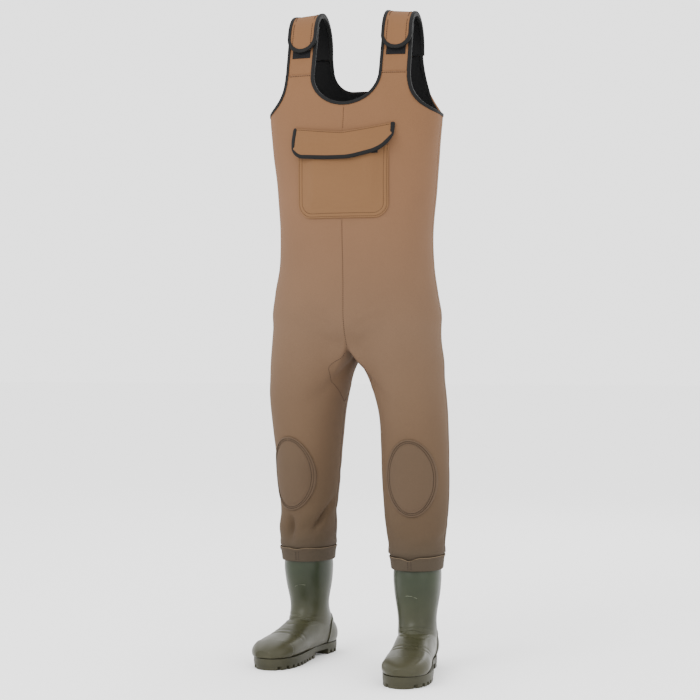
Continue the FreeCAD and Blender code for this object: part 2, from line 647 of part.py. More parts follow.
# ---------------------------------------------------------------- boots
def boot_section(back, front, half_width, square, inset, lean, out, count=16):
    """One closed section of the upper. The boot is modelled with its toe along -Y and its outer side at +X."""
    share = lambda h: max(0.0, h - ANKLE_Z) / (SHAFT_TOP_Z - ANKLE_Z)
    (fb, hb), (ff, hf) = back, front
    a = V(out * share(hb), -(fb + lean * share(hb)), hb)
    b = V(out * share(hf), -(ff + lean * share(hf)), hf)
    centre = (a + b) * 0.5
    axis = b - a
    half = axis.Length / 2 - inset
    axis.normalize()
    points = []
    for i in range(count):
        angle = math.radians(START_DEG) + 2 * math.pi * i / count
        sideways = (half_width - inset) * power(math.sin(angle), 2 / square)
        points.append(centre + V(sideways, 0, 0) + axis * (half * power(math.cos(angle), 2 / square)))
    return closed_curve(points)


def boot_bulk(side, inset, floor, top=0.0):
    """The solid inside the upper's surface, above a floor height. top lengthens the shaft.

    Every inset is lofted through the same rows and then cut level, so that the walls between them stay even.
    """
    _, _, _, lean, out = BOOTS[side]
    (fb, hb), (ff, hf), half_width, square = SHAFT[0]
    shaft = [((fb, hb + SHAFT_OVER), (ff, hf + SHAFT_OVER), half_width, square)] + SHAFT
    ends = {FOOT[0][0][0]: inset, FOOT[-1][0][0]: -inset}
    foot = []
    for (f, low), (_, high), half_width, square in FOOT:
        moved = f + ends.get(f, 0.0)
        foot.append(((moved, low), (moved, high), half_width, square))
    bodies = [loft([boot_section(*row, inset, lean, out) for row in rows]) for rows in (shaft, foot)]
    below, above = box(-FAR, FAR, -FAR, FAR, -FAR, floor), box(-FAR, FAR, -FAR, FAR, SHAFT_TOP_Z + top, TOP)
    return bodies[0].fuse(bodies[1]).cut([below, above])


def sole_outline(inset, z0, z1):
    points = []
    middle = sum(f for _, f in SOLE) / len(SOLE)
    for x, f in SOLE:
        reach = math.hypot(x, f - middle)
        k = 1 - inset / reach
        points.append(V(x * k, -(middle + (f - middle) * k), z0))
    return Part.Face(closed_curve(points)).extrude(V(0, 0, z1 - z0))


def tread_bars(first, last):
    """Bars across the sole between two distances forward of the ankle."""
    count = int((last - first - CLEAT) / CLEAT_PITCH) + 1
    pitch = (last - first - CLEAT) / (count - 1)
    bars = []
    for i in range(count):
        f = first + i * pitch
        bars.append(box(-FAR, FAR, -(f + CLEAT), -f, 0, CLEAT_HEIGHT + 0.5))
    return bars


def boot_local(side):
    """One boot's pieces, toe along -Y and outer side at +X."""
    outer = boot_bulk(side, 0.0, SOLE_TOP_Z)
    upper = outer.cut(boot_bulk(side, RUBBER, SOLE_TOP_Z + RUBBER, 10.0))
    floor = SOLE_TOP_Z + RUBBER + CLEARANCE
    face = RUBBER + LINING_GAP
    below_top = box(-FAR, FAR, -FAR, FAR, 0, SHAFT_TOP_Z - 3)
    lining = boot_bulk(side, face, floor).cut(boot_bulk(side, face + LINING, floor + LINING, 10.0)).common(below_top)
    lining = lining.cut(upper)
    foot = floor + LINING + CLEARANCE
    insole = boot_bulk(side, face + LINING + CLEARANCE, foot).common(box(-FAR, FAR, -FAR, FAR, 0, foot + INSOLE))
    skin = boot_bulk(side, -CLEARANCE - CAP, SOLE_TOP_Z + 1).cut(boot_bulk(side, -CLEARANCE, 0.0))
    drum = lambda f, z, r: Part.makeCylinder(r, 2 * FAR, V(-FAR, -f, z), V(1, 0, 0))
    plate = sole_outline(SOLE_EDGE, ARCH_Z, SOLE_TOP_Z - CLEARANCE)
    ahead = box(-FAR, FAR, -FAR, -FORE_BACK, -1, ARCH_Z)
    behind = box(-FAR, FAR, -HEEL_FRONT, FAR, -1, ARCH_Z)
    fore = sole_outline(SOLE_EDGE + 1, CLEAT_HEIGHT, ARCH_Z).common(ahead)
    cleats = sole_outline(SOLE_EDGE + 2, 0.0, CLEAT_HEIGHT).common(ahead)
    cleats = cleats.common(Part.makeCompound(tread_bars(FORE_BACK + 2, FORE_FRONT)))
    heel_plate = sole_outline(SOLE_EDGE + 1, CLEAT_HEIGHT, ARCH_Z - CLEARANCE).common(behind)
    heel_cleats = sole_outline(SOLE_EDGE + 2, 0.0, CLEAT_HEIGHT).common(behind)
    heel_cleats = heel_cleats.common(Part.makeCompound(tread_bars(HEEL_BACK, HEEL_FRONT)))
    return {
        "boot_upper": upper,
        "boot_lining": lining,
        "insole": insole,
        "toe_cap": skin.common(drum(*TOE_CAP)),
        "heel_counter": skin.common(drum(*HEEL_COUNTER)),
        "outsole": plate.fuse([fore] + cleats.Solids).removeSplitter(),
        "heel": heel_plate.fuse(heel_cleats.Solids).removeSplitter(),
    }


def stood(side, shape):
    """A boot's shape, moved from its own place to where that side's boot stands."""
    x, y, turn, _, _ = BOOTS[side]
    placed = shape.mirror(V(0, 0, 0), V(1, 0, 0)) if side == "right" else shape
    placed.rotate(V(0, 0, 0), V(0, 0, 1), SIGN[side] * turn)
    placed.translate(V(x, y, 0))
    return placed


def boot_parts(side):
    return {f"{side}_{name}": stood(side, shape) for name, shape in boot_local(side).items()}


# ---------------------------------------------------------------- everything
def all_parts():
    made = {}
    made.update(panels())
    made.update(seam_tapes())
    made.update(body_bindings())
    made.update(shoulder_parts())
    made.update(pocket_parts())
    for side in SIGN:
        made[f"{side}_knee_pad"] = knee_pad(side)
        made[f"{side}_cuff"] = cuff(side)
        made.update(boot_parts(side))
    return made


def without_slivers(shape, least=5.0):
    kept = [s for s in shape.Solids if s.Volume > least]
    return kept[0] if len(kept) == 1 else Part.makeCompound(kept)


def main():
    os.makedirs("parts", exist_ok=True)
    made = {name: without_slivers(shape) for name, shape in all_parts().items()}
    whole = FreeCAD.BoundBox()
    for shape in made.values():
        whole.add(shape.optimalBoundingBox(True, False))
    shift = V(-whole.Center.x, -whole.Center.y, -whole.ZMin)
    print("moved by", shift, "overall", whole.XLength, whole.YLength, whole.ZLength)
    for name, shape in made.items():
        shape.translate(shift)
        shape.exportStep(f"parts/{name}.step")
        print(f"{name}: {len(shape.Solids)} solids, {shape.Volume / 1000:.1f} cm3, valid {shape.isValid()}")
    for side, sign in SIGN.items():
        ends = [p + shift for p in tab_hinge(sign)]
        print(side, "tab hinge", ends)
    print("flap hinge", V(0, -torso_row(FLAP_HINGE_Z)[3] - flap_offset(FLAP_HINGE_Z) - POCKET_SHEET - BINDING_OUT,
                          FLAP_HINGE_Z) + shift)


if __name__ == "__main__":
    main()
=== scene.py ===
"""Looks of the chest waders: sheet, binding, stitching, pocket, patches and boots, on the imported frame."""
import json
import math
from contextlib import contextmanager

import bmesh
import bpy
import numpy as np
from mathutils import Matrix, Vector, noise
from mathutils.bvhtree import BVHTree


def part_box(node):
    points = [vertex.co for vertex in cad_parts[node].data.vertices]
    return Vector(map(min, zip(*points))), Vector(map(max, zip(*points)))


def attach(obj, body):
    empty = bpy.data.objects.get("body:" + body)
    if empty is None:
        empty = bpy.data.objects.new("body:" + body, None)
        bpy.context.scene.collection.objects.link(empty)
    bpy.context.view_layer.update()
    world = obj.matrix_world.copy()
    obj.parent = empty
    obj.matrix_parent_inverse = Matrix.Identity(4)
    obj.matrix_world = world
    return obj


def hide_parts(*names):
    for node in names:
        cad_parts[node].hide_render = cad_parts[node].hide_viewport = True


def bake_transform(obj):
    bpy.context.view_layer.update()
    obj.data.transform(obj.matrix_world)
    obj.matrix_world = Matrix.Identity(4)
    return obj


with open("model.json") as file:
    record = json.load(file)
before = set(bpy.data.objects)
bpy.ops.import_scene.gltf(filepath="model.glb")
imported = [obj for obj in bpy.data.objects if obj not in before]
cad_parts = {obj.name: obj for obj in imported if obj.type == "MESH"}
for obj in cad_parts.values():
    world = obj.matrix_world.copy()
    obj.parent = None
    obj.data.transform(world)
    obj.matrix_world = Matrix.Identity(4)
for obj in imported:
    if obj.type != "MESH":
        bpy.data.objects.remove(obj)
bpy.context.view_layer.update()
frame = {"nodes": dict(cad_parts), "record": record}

# ---------------------------------------------------------------- places that the frame gives
AXIS_X = (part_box("left_shoulder_strap")[0].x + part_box("right_shoulder_strap")[1].x) / 2
AXIS_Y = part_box("back_right_panel")[0].y
STRAP_SEAM_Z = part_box("front_left_panel")[1].z
BACK_SEAM_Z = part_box("back_left_panel")[1].z
LEG_END_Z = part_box("front_left_panel")[0].z
NECK_LOW_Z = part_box("front_neck_binding")[0].z + 0.008
STRAP_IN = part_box("left_shoulder_strap_binding")[0].x - AXIS_X
STRAP_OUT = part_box("left_shoulder_strap_binding")[1].x - AXIS_X
NECK_BACK_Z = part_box("back_neck_binding")[0].z + 0.008
SHOULDER_Z = 1.394

# ---------------------------------------------------------------- the garment's shape, as in the CAD
SHEET = 0.005
BINDING_OUT = 0.0018
# Height, sideways shift, half width, depth in front, depth behind, squareness.
TORSO = [
    (1.400, 0.0, 0.178, 0.058, 0.068, 4.2),
    (1.330, 0.0, 0.186, 0.088, 0.088, 3.6),
    (1.240, 0.0, 0.196, 0.112, 0.112, 2.7),
    (1.150, 0.0, 0.189, 0.125, 0.120, 2.5),
    (1.060, 0.002, 0.182, 0.130, 0.118, 2.4),
    (0.970, 0.002, 0.175, 0.127, 0.110, 2.3),
    (0.890, 0.002, 0.177, 0.121, 0.112, 2.3),
    (0.830, 0.0, 0.187, 0.119, 0.121, 2.3),
    (0.765, 0.0, 0.195, 0.116, 0.124, 2.3),
    (0.722, 0.0, 0.180, 0.096, 0.106, 2.3),
    (0.700, 0.0, 0.125, 0.062, 0.070, 2.2),
]
# Height, axis x and y, half width, half depth, turn of the front in degrees.
LEGS = {
    "left": [
        (0.830, 0.088, 0.001, 0.084, 0.095, 0.0),
        (0.765, 0.095, 0.0, 0.096, 0.104, 0.0),
        (0.706, 0.099, 0.0, 0.097, 0.108, 0.0),
        (0.652, 0.115, -0.005, 0.087, 0.103, 0.0),
        (0.571, 0.135, -0.018, 0.077, 0.092, 1.0),
        (0.489, 0.143, -0.030, 0.075, 0.080, 3.0),
        (0.423, 0.146, -0.038, 0.075, 0.076, 4.0),
        (0.335, 0.149, -0.049, 0.070, 0.073, 4.5),
        (0.282, 0.1515, -0.055, 0.062, 0.069, 4.0),
        (0.247, 0.154, -0.060, 0.054, 0.0645, 4.0),
        (0.2325, 0.1546, -0.0615, 0.0535, 0.064, 4.0),
    ],
    "right": [
        (0.830, -0.088, 0.001, 0.084, 0.095, 0.0),
        (0.765, -0.095, 0.003, 0.096, 0.104, -1.0),
        (0.706, -0.099, 0.006, 0.098, 0.108, -4.0),
        (0.652, -0.107, 0.008, 0.093, 0.103, -9.0),
        (0.571, -0.116, 0.013, 0.084, 0.092, -15.0),
        (0.489, -0.117, 0.019, 0.075, 0.080, -19.0),
        (0.423, -0.118, 0.025, 0.070, 0.073, -21.0),
        (0.335, -0.121, 0.032, 0.0625, 0.0675, -19.0),
        (0.282, -0.124, 0.036, 0.063, 0.068, -15.0),
        (0.247, -0.1245, 0.040, 0.054, 0.0645, -12.0),
        (0.2325, -0.1243, 0.0406, 0.0535, 0.064, -12.0),
    ],
}
SIGN = {"left": 1, "right": -1}
LEG_SQUARE = 2.15
SPLIT_Z = 0.716             # torso rings above, leg rings below
CROTCH_Z = 0.702
QUARTER = 34                # columns between two seams
BRIDGE = 30                 # columns of each leg that run over the inner thigh
ROW = 0.0066                # height of a row of faces


def cubic(table, z):
    last = len(table) - 1
    i = min(max(sum(1 for row in table if row[0] >= z) - 1, 0), last - 1)
    above, below = table[i], table[i + 1]
    span = below[0] - above[0]
    t = (z - above[0]) / span
    row = []
    for c in range(1, len(above)):
        slopes = []
        for k in (i, i + 1):
            a, b = table[max(k - 1, 0)], table[min(k + 1, last)]
            slopes.append((b[c] - a[c]) / (b[0] - a[0]) * span)
        row.append((2 * t ** 3 - 3 * t ** 2 + 1) * above[c] + (t ** 3 - 2 * t ** 2 + t) * slopes[0]
                   + (3 * t ** 2 - 2 * t ** 3) * below[c] + (t ** 3 - t ** 2) * slopes[1])
    return row


def smooth(t):
    t = min(max(t, 0.0), 1.0)
    return t * t * (3 - 2 * t)


def bell(x, width):
    """1 at zero, falling off over a width on both sides."""
    return math.exp(-(x / width) ** 2)


class Section:
    """One closed level curve of the torso or a leg."""

    def __init__(self, name, z):
        if name == "torso":
            cx, self.a, self.front, self.back, self.square = cubic(TORSO, max(z, TORSO[-1][0]))
            cy, turn = 0.0, 0.0
        else:
            cx, cy, self.a, self.front, turn = cubic(LEGS[name], z)
            self.back, self.square = self.front, LEG_SQUARE
        self.cx, self.cy = cx + AXIS_X, cy + AXIS_Y
        self.c, self.s = math.cos(math.radians(turn)), math.sin(math.radians(turn))

    def level(self, x, y):
        """Below 1 inside the curve, above 1 outside it."""
        dx, dy = x - self.cx, y - self.cy
        u, v = dx * self.c + dy * self.s, -dx * self.s + dy * self.c
        depth = self.front if v < 0 else self.back
        return (abs(u) / self.a) ** self.square + (abs(v) / depth) ** self.square


def reach(sections, x, y, dx, dy, far=0.34):
    """How far a ray from (x, y) goes before it leaves the outermost of some sections."""
    low, high = 0.0, far
    for _ in range(22):
        middle = (low + high) / 2
        if min(s.level(x + dx * middle, y + dy * middle) for s in sections) < 1:
            low = middle
        else:
            high = middle
    return low


# ---------------------------------------------------------------- mesh helpers
def shade_smooth(mesh):
    mesh.polygons.foreach_set("use_smooth", [True] * len(mesh.polygons))


@contextmanager
def editing(obj):
    """The object's mesh as a bmesh, written back at the end."""
    bm = bmesh.new()
    bm.from_mesh(obj.data)
    yield bm
    bm.to_mesh(obj.data)
    bm.free()


def new_object(name, verts, faces, material=None):
    mesh = bpy.data.meshes.new(name)
    mesh.from_pydata([tuple(v) for v in verts], [], faces)
    mesh.validate()
    shade_smooth(mesh)
    obj = bpy.data.objects.new(name, mesh)
    bpy.context.collection.objects.link(obj)
    if material:
        mesh.materials.append(material)
    return obj


def apply_modifiers(obj):
    bpy.context.view_layer.update()
    evaluated = obj.evaluated_get(bpy.context.evaluated_depsgraph_get())
    mesh = bpy.data.meshes.new_from_object(evaluated)
    obj.modifiers.clear()
    obj.data = mesh


def place(obj, body, slot, *nodes):
    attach(obj, body)
    if nodes:
        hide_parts(*nodes)


def place_bending(obj, bend, slot, *nodes):
    """For a piece that runs over a bend between two bodies: hides the frame's pieces and bakes its place into
    its mesh, attached to no body.
    """
    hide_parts(*nodes)
    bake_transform(obj)


def tree_of(obj):
    mesh = obj.data
    points = [v.co.copy() for v in mesh.vertices]
    return BVHTree.FromPolygons(points, [tuple(p.vertices) for p in mesh.polygons])


# ---------------------------------------------------------------- the openings' outlines, from the front
def hermite(p, q, m, n, count):
    out = []
    for i in range(count + 1):
        t = i / count
        h = (2 * t ** 3 - 3 * t ** 2 + 1, t ** 3 - 2 * t ** 2 + t, 3 * t ** 2 - 2 * t ** 3, t ** 3 - t ** 2)
        out.append(tuple(h[0] * p[k] + h[1] * m[k] + h[2] * q[k] + h[3] * n[k] for k in range(2)))
    return out


def neck_front_line():
    a, b = STRAP_IN, STRAP_SEAM_Z - NECK_LOW_Z
    arc = [(-a * math.cos(t), STRAP_SEAM_Z - b * math.sin(t)) for t in np.linspace(0, math.pi, 41)]
    return [(-a, STRAP_SEAM_Z + 0.2)] + arc + [(a, STRAP_SEAM_Z + 0.2)]


def neck_back_line():
    a, r, low = STRAP_IN, 0.044, NECK_BACK_Z
    line = [(-a, BACK_SEAM_Z + 0.2)]
    line += [(-a + r - r * math.cos(t), low + r - r * math.sin(t)) for t in np.linspace(0, math.pi / 2, 12)]
    line += [(a - r + r * math.sin(t), low + r - r * math.cos(t)) for t in np.linspace(0, math.pi / 2, 12)]
    return line + [(a, BACK_SEAM_Z + 0.2)]


def armhole_line(front):
    if front:
        start, middle = (STRAP_OUT, 1.330), (0.158, 1.261)
    else:
        start, middle = (STRAP_OUT - 0.003, 1.380), (0.151, 1.296)
    side = (0.202, 1.231)
    mid_slope = ((side[0] - start[0]) * 0.62, (side[1] - start[1]) * 0.5)
    drop = start[1] - middle[1]
    run = (side[0] - middle[0])
    line = hermite(start, middle, (0.0, -drop), mid_slope, 14)[:-1]
    line += hermite(middle, side, mid_slope, (run, -run * 0.3), 14)
    return [(start[0], start[1] + 0.2)] + line + [(0.4, side[1] - 0.02)]


def signed_distance(line, x, z):
    """Distance of points from a line, negative on its left: inside the opening."""
    pts = np.array(line)
    best = np.full(x.shape, 1e9)
    sign = np.ones(x.shape)
    for (x0, z0), (x1, z1) in zip(pts, pts[1:]):
        dx, dz = x1 - x0, z1 - z0
        length = dx * dx + dz * dz
        t = np.clip(((x - x0) * dx + (z - z0) * dz) / length, 0, 1)
        gap = np.hypot(x - x0 - t * dx, z - z0 - t * dz)
        cross = dx * (z - z0) - dz * (x - x0)
        nearer = gap < best - 1e-12
        best = np.where(nearer, gap, best)
        sign = np.where(nearer, np.where(cross > 0, -1.0, 1.0), sign)
    return best * sign


def opening_distance(points):
    """How far points of the torso are from the nearest opening's edge, negative where there is no sheet."""
    x, y, z = points[:, 0] - AXIS_X, points[:, 1] - AXIS_Y, points[:, 2]
    front = y <= 0
    neck = np.where(front, signed_distance(neck_front_line(), x, z), signed_distance(neck_back_line(), x, z))
    arm = np.where(front, signed_distance(armhole_line(True), np.abs(x), z),
                   signed_distance(armhole_line(False), np.abs(x), z))
    return np.minimum(neck, arm) - BINDING_OUT


# ---------------------------------------------------------------- garment
def row_heights():
    def span(a, b):
        return list(np.linspace(a, b, max(2, int(round((a - b) / ROW)) + 1)))
    torso = span(BACK_SEAM_Z, STRAP_SEAM_Z)[:-1] + span(STRAP_SEAM_Z, SPLIT_Z)
    return torso, span(SPLIT_Z, LEG_END_Z)[1:]


def column_angles():
    """Column directions from the front centre by the wearer's left, closer together beside the seams."""
    reach_to = (0.12, 0.188, 0.115, 0.188, 0.12)
    out = []
    for k in range(4):
        start, end = math.pi / 2 * k, math.pi / 2 * (k + 1)
        out += [start] + [start + d / reach_to[k] for d in BESIDE_SEAM]
        first, last = start + 0.0075 / reach_to[k], end - 0.0075 / reach_to[k + 1]
        out += list(np.linspace(first, last, QUARTER))
        out += [end - d / reach_to[k + 1] for d in reversed(BESIDE_SEAM)]
    return out


BESIDE_SEAM = (0.0010, 0.0022, 0.0042)
ANGLES = column_angles()
COLUMNS = len(ANGLES)


def build_garment():
    """The outer face of the sheet: torso rings that part at the crotch into two legs' rings."""
    torso_z, leg_z = row_heights()
    verts, faces, rings = [], [], []
    for z in torso_z:
        shapes = [Section("torso", z)]
        if z < LEGS["left"][0][0]:
            shapes += [Section("left", z), Section("right", z)]
        ring = []
        for angle in ANGLES:
            dx, dy = math.sin(angle), -math.cos(angle)
            far = reach(shapes, AXIS_X, AXIS_Y, dx, dy)
            ring.append(len(verts))
            verts.append(Vector((AXIS_X + dx * far, AXIS_Y + dy * far, z)))
        rings.append(ring)
    for upper, lower in zip(rings, rings[1:]):
        for i in range(COLUMNS):
            j = (i + 1) % COLUMNS
            faces.append((upper[i], lower[i], lower[j], upper[j]))
    last = rings[-1]
    half = COLUMNS // 2
    front, back = verts[last[0]], verts[last[half]]
    bridge = []
    for k in range(1, BRIDGE + 1):
        t = k / (BRIDGE + 1)
        dip = math.sin(math.pi * t) ** 0.7
        p = front.lerp(back, t)
        bridge.append(len(verts))
        verts.append(Vector((p.x, p.y, SPLIT_Z + (CROTCH_Z - SPLIT_Z) * dip)))
    for side in ("left", "right"):
        if side == "left":
            top = last[0:half + 1] + list(reversed(bridge))
        else:
            top = last[half:] + [last[0]] + bridge
        first = Section(side, SPLIT_Z)
        angles = []
        for k in top:
            v = verts[k]
            angles.append(math.atan2(v.y - first.cy, v.x - first.cx))
        previous = top
        for z in leg_z:
            s = Section(side, z)
            settle = smooth((SPLIT_Z - z) / 0.075)
            ring = []
            for k, angle in zip(top, angles):
                far = reach([s], s.cx, s.cy, math.cos(angle), math.sin(angle), 0.2)
                on_leg = Vector((s.cx + math.cos(angle) * far, s.cy + math.sin(angle) * far, z))
                start = verts[k]
                loose = Vector((start.x + (s.cx - first.cx), start.y + (s.cy - first.cy),
                                z - (SPLIT_Z - start.z)))
                ring.append(len(verts))
                verts.append(loose.lerp(on_leg, settle))
            n = len(ring)
            for i in range(n):
                j = (i + 1) % n
                faces.append((previous[i], ring[i], ring[j], previous[j]))
            previous = ring
    return verts, faces


def cut_openings(verts, faces):
    """Ends the sheet at the neckline, the armholes and the strap seams, with its edge moved onto the line."""
    co = np.array([tuple(v) for v in verts])
    gap = opening_distance(co)
    gap[co[:, 2] < 1.2] = 1.0
    above = (co[:, 1] <= AXIS_Y) & (co[:, 2] > STRAP_SEAM_Z + 1e-5)
    inside = gap < 0
    neighbours = {}
    for f in faces:
        for a, b in zip(f, f[1:] + f[:1]):
            if inside[a] != inside[b]:
                neighbours.setdefault(a if inside[a] else b, set()).add(b if inside[a] else a)
    moved = {}
    for v, others in neighbours.items():
        best = None
        for u in others:
            t = gap[v] / (gap[v] - gap[u])
            p = verts[v].lerp(verts[u], t)
            if best is None or (p - verts[v]).length < (best - verts[v]).length:
                best = p
        moved[v] = best
    kept = []
    for f in faces:
        if any(above[i] for i in f):
            continue
        ring = [i for i in f if not inside[i] or i in moved]
        if all(inside[i] for i in f) or len(ring) < 3:
            continue
        kept.append(tuple(ring))
    out = [moved.get(i, v) for i, v in enumerate(verts)]
    used = sorted({i for f in kept for i in f})
    number = {old: new for new, old in enumerate(used)}
    return [out[i] for i in used], [tuple(number[i] for i in f) for f in kept]


def crotch_relax(obj, rounds=14):
    """Evens out the mesh where the rings part."""
    low, high, fade = 0.60, 0.79, 0.05
    with editing(obj) as bm:
        near = [v for v in bm.verts if low < v.co.z < high and not v.is_boundary]
        for _ in range(rounds):
            target = {}
            for v in near:
                around = [e.other_vert(v).co for e in v.link_edges]
                mean = sum(around, Vector()) / len(around)
                weight = 0.5 * smooth((high - v.co.z) / fade) * smooth((v.co.z - low) / fade)
                target[v] = v.co.lerp(mean, weight)
            for v, co in target.items():
                v.co = co


def displace(obj, depth):
    """Moves each vertex along its normal by depth(position)."""
    with editing(obj) as bm:
        bm.normal_update()
        for v, move in [(v, v.normal * depth(v.co)) for v in bm.verts]:
            v.co += move


# ---------------------------------------------------------------- materials
def linear(r, g, b):
    def one(c):
        c /= 255
        return c / 12.92 if c <= 0.04045 else ((c + 0.055) / 1.055) ** 2.4
    return (one(r), one(g), one(b), 1.0)


def scaled(colour, k):
    return tuple(min(c * k, 1.0) for c in colour[:3]) + (1.0,)


class Nodes:
    """A material and short ways to add to its node tree."""

    def __init__(self, name, roughness, specular=0.5):
        self.mat = bpy.data.materials.new(name)
        self.mat.use_nodes = True
        self.tree = self.mat.node_tree
        self.bsdf = self.tree.nodes["Principled BSDF"]
        self.bsdf.inputs["Roughness"].default_value = roughness
        self.bsdf.inputs["Specular IOR Level"].default_value = specular
        self.place = self.add("ShaderNodeTexCoord").outputs["Object"]

    def add(self, kind, inputs=None):
        """A new node, whose inputs are linked where a socket is given and set where a value is."""
        node = self.tree.nodes.new(kind)
        for name, value in (inputs or {}).items():
            if isinstance(value, bpy.types.NodeSocket):
                self.tree.links.new(value, node.inputs[name])
            else:
                node.inputs[name].default_value = value
        return node

    def noise(self, scale, detail=2.0, stretch=None):
        source = self.place
        if stretch:
            source = self.add("ShaderNodeMapping", {"Scale": stretch, "Vector": source}).outputs["Vector"]
        node = self.add("ShaderNodeTexNoise", {"Scale": scale, "Detail": detail, "Vector": source})
        return node.outputs["Fac"]

    def ramp(self, source, stops):
        node = self.add("ShaderNodeValToRGB", {"Fac": source})
        elements = node.color_ramp.elements
        elements[0].position, elements[0].color = stops[0]
        elements[1].position, elements[1].color = stops[-1]
        for position, colour in stops[1:-1]:
            elements.new(position).color = colour
        return node.outputs["Color"]

    def height(self, low, high):
        """0 at one height of the object and 1 at another."""
        z = self.add("ShaderNodeSeparateXYZ", {0: self.place}).outputs["Z"]
        node = self.add("ShaderNodeMapRange", {"From Min": low, "From Max": high, "Value": z})
        return node.outputs["Result"]

    def multiply(self, a, b):
        node = self.add("ShaderNodeMix")
        node.data_type = "RGBA"
        node.blend_type = "MULTIPLY"
        node.inputs[0].default_value = 1.0
        self.tree.links.new(a, node.inputs[6])
        self.tree.links.new(b, node.inputs[7])
        return node.outputs[2]

    def colour(self, source):
        self.tree.links.new(source, self.bsdf.inputs["Base Color"])

    def bump(self, source, strength, distance):
        node = self.add("ShaderNodeBump", {"Strength": strength, "Distance": distance, "Height": source})
        previous = self.bsdf.inputs["Normal"].links
        if previous:
            self.tree.links.new(previous[0].from_socket, node.inputs["Normal"])
        self.tree.links.new(node.outputs["Normal"], self.bsdf.inputs["Normal"])


def fabric(name, by_height, spread=0.06, sheen=0.08, grain=0.25, roughness=0.9):
    """Knitted face cloth: colour by height, blotches, a fine knit and a little fuzz."""
    n = Nodes(name, roughness, 0.25)
    low, high = by_height[0][0], by_height[-1][0]
    stops = [((z - low) / (high - low), linear(*c)) for z, c in by_height]
    base = n.ramp(n.height(low, high), stops)
    grey = lambda k: (k, k, k, 1.0)
    blotch = n.ramp(n.noise(9.0, 3.0), [(0.3, grey(1 - spread)), (0.7, grey(1.0))])
    speckle = n.ramp(n.noise(620.0, 1.0, (1.0, 1.0, 2.2)), [(0.3, grey(1 - 2.4 * spread)), (0.72, grey(1.0))])
    n.colour(n.multiply(n.multiply(base, blotch), speckle))
    n.bump(n.noise(900.0, 1.0, (1.0, 1.0, 1.8)), grain, 0.0005)
    n.bump(n.noise(45.0, 2.0), 0.12, 0.002)
    n.bsdf.inputs["Sheen Weight"].default_value = sheen
    n.bsdf.inputs["Sheen Roughness"].default_value = 0.45
    n.bsdf.inputs["Sheen Tint"].default_value = stops[-1][1]
    return n.mat


def rubber(name, dark, light, roughness, upper=None):
    """Moulded rubber: slight marbling, an uneven gloss and scuffs."""
    n = Nodes(name, roughness, 0.22)
    marble = n.ramp(n.noise(13.0, 4.0), [(0.32, linear(*dark)), (0.68, linear(*light))])
    if upper:
        by_height = n.ramp(n.height(0.05, 0.2), [(0.0, (1.0, 1.0, 1.0, 1.0)), (1.0, linear(*upper))])
        marble = n.multiply(marble, by_height)
    n.colour(marble)
    node = n.add("ShaderNodeMapRange", {"To Min": roughness - 0.1, "To Max": roughness + 0.16,
                                        "Value": n.noise(34.0, 5.0)})
    n.tree.links.new(node.outputs["Result"], n.bsdf.inputs["Roughness"])
    n.bump(n.noise(520.0, 2.0), 0.10, 0.0004)
    n.bump(n.noise(26.0, 3.0), 0.10, 0.0015)
    return n.mat


def hooks(name, colour):
    """Hook and loop tape: coarse dark pile."""
    n = Nodes(name, 0.85, 0.2)
    base = linear(*colour)
    n.colour(n.ramp(n.noise(900.0, 2.0), [(0.35, scaled(base, 0.5)), (0.65, scaled(base, 1.8))]))
    n.bump(n.noise(700.0, 3.0), 0.8, 0.0009)
    return n.mat


# Height and colour of the face cloth. It gets darker towards the bottom: partly painted shade, where the light
# falls off downwards, partly the cloth's own darker tone lower down.
TAN = [(0.24, (58, 49, 38)), (0.30, (68, 54, 39)), (0.45, (80, 62, 45)), (0.75, (96, 74, 56)),
       (1.05, (107, 77, 54)), (1.40, (107, 74, 47))]
NEOPRENE = fabric("neoprene", TAN)
POCKET = fabric("pocket_cloth", [(0.95, (105, 76, 50)), (1.25, (104, 72, 44))], 0.05)
# The knee cloth's colours follow the face cloth's darkening at that height: partly painted shade, partly the
# cloth's own tone.
PATCH = fabric("knee_cloth", [(0.30, (72, 57, 43)), (0.50, (76, 60, 45))], 0.07)
LINED = fabric("lining", [(0.2, (6, 6, 7)), (1.4, (7, 7, 8))], 0.2, 0.02)
BINDING = fabric("binding", [(0.2, (4, 4, 4)), (1.4, (5, 5, 5))], 0.2, 0.0, 0.5, 0.8)
CUT_EDGE = fabric("cut_edge", [(0.2, (108, 92, 72)), (0.3, (112, 95, 74))], 0.05)
THREAD = fabric("thread", [(0.2, (24, 17, 12)), (1.4, (32, 22, 14))], 0.1, 0.0, 0.0)
HOOKS = hooks("hook_and_loop", (9, 9, 11))
BOOT = rubber("boot_rubber", (43, 42, 27), (53, 51, 34), 0.34, (196, 228, 226))
SOLE = rubber("sole_rubber", (41, 40, 27), (49, 47, 32), 0.5)
# The shin arc's light colour is a painted highlight on the edge of a moulded band round the boot's shin.
SHIN_PAINTED_HIGHLIGHT = rubber("shin_painted_highlight", (92, 96, 80), (104, 108, 90), 0.5)
FELT = fabric("boot_lining", [(0.0, (60, 58, 52)), (0.3, (66, 62, 56))], 0.15)


# ---------------------------------------------------------------- soft copies of the frame's pieces
def cad_copy(name, nodes, moved=()):
    """A new mesh with the frame's pieces, and further copies that close the slit at a bend."""
    bm = bmesh.new()
    for node in nodes:
        bm.from_mesh(frame["nodes"][node].data)
    for node, offset in moved:
        part = bmesh.new()
        part.from_mesh(frame["nodes"][node].data)
        bmesh.ops.translate(part, verts=part.verts, vec=offset)
        mesh = bpy.data.meshes.new("moved")
        part.to_mesh(mesh)
        part.free()
        bm.from_mesh(mesh)
        bpy.data.meshes.remove(mesh)
    bmesh.ops.remove_doubles(bm, verts=bm.verts, dist=1e-6)
    mesh = bpy.data.meshes.new(name)
    bm.to_mesh(mesh)
    bm.free()
    obj = bpy.data.objects.new(name, mesh)
    bpy.context.collection.objects.link(obj)
    return obj


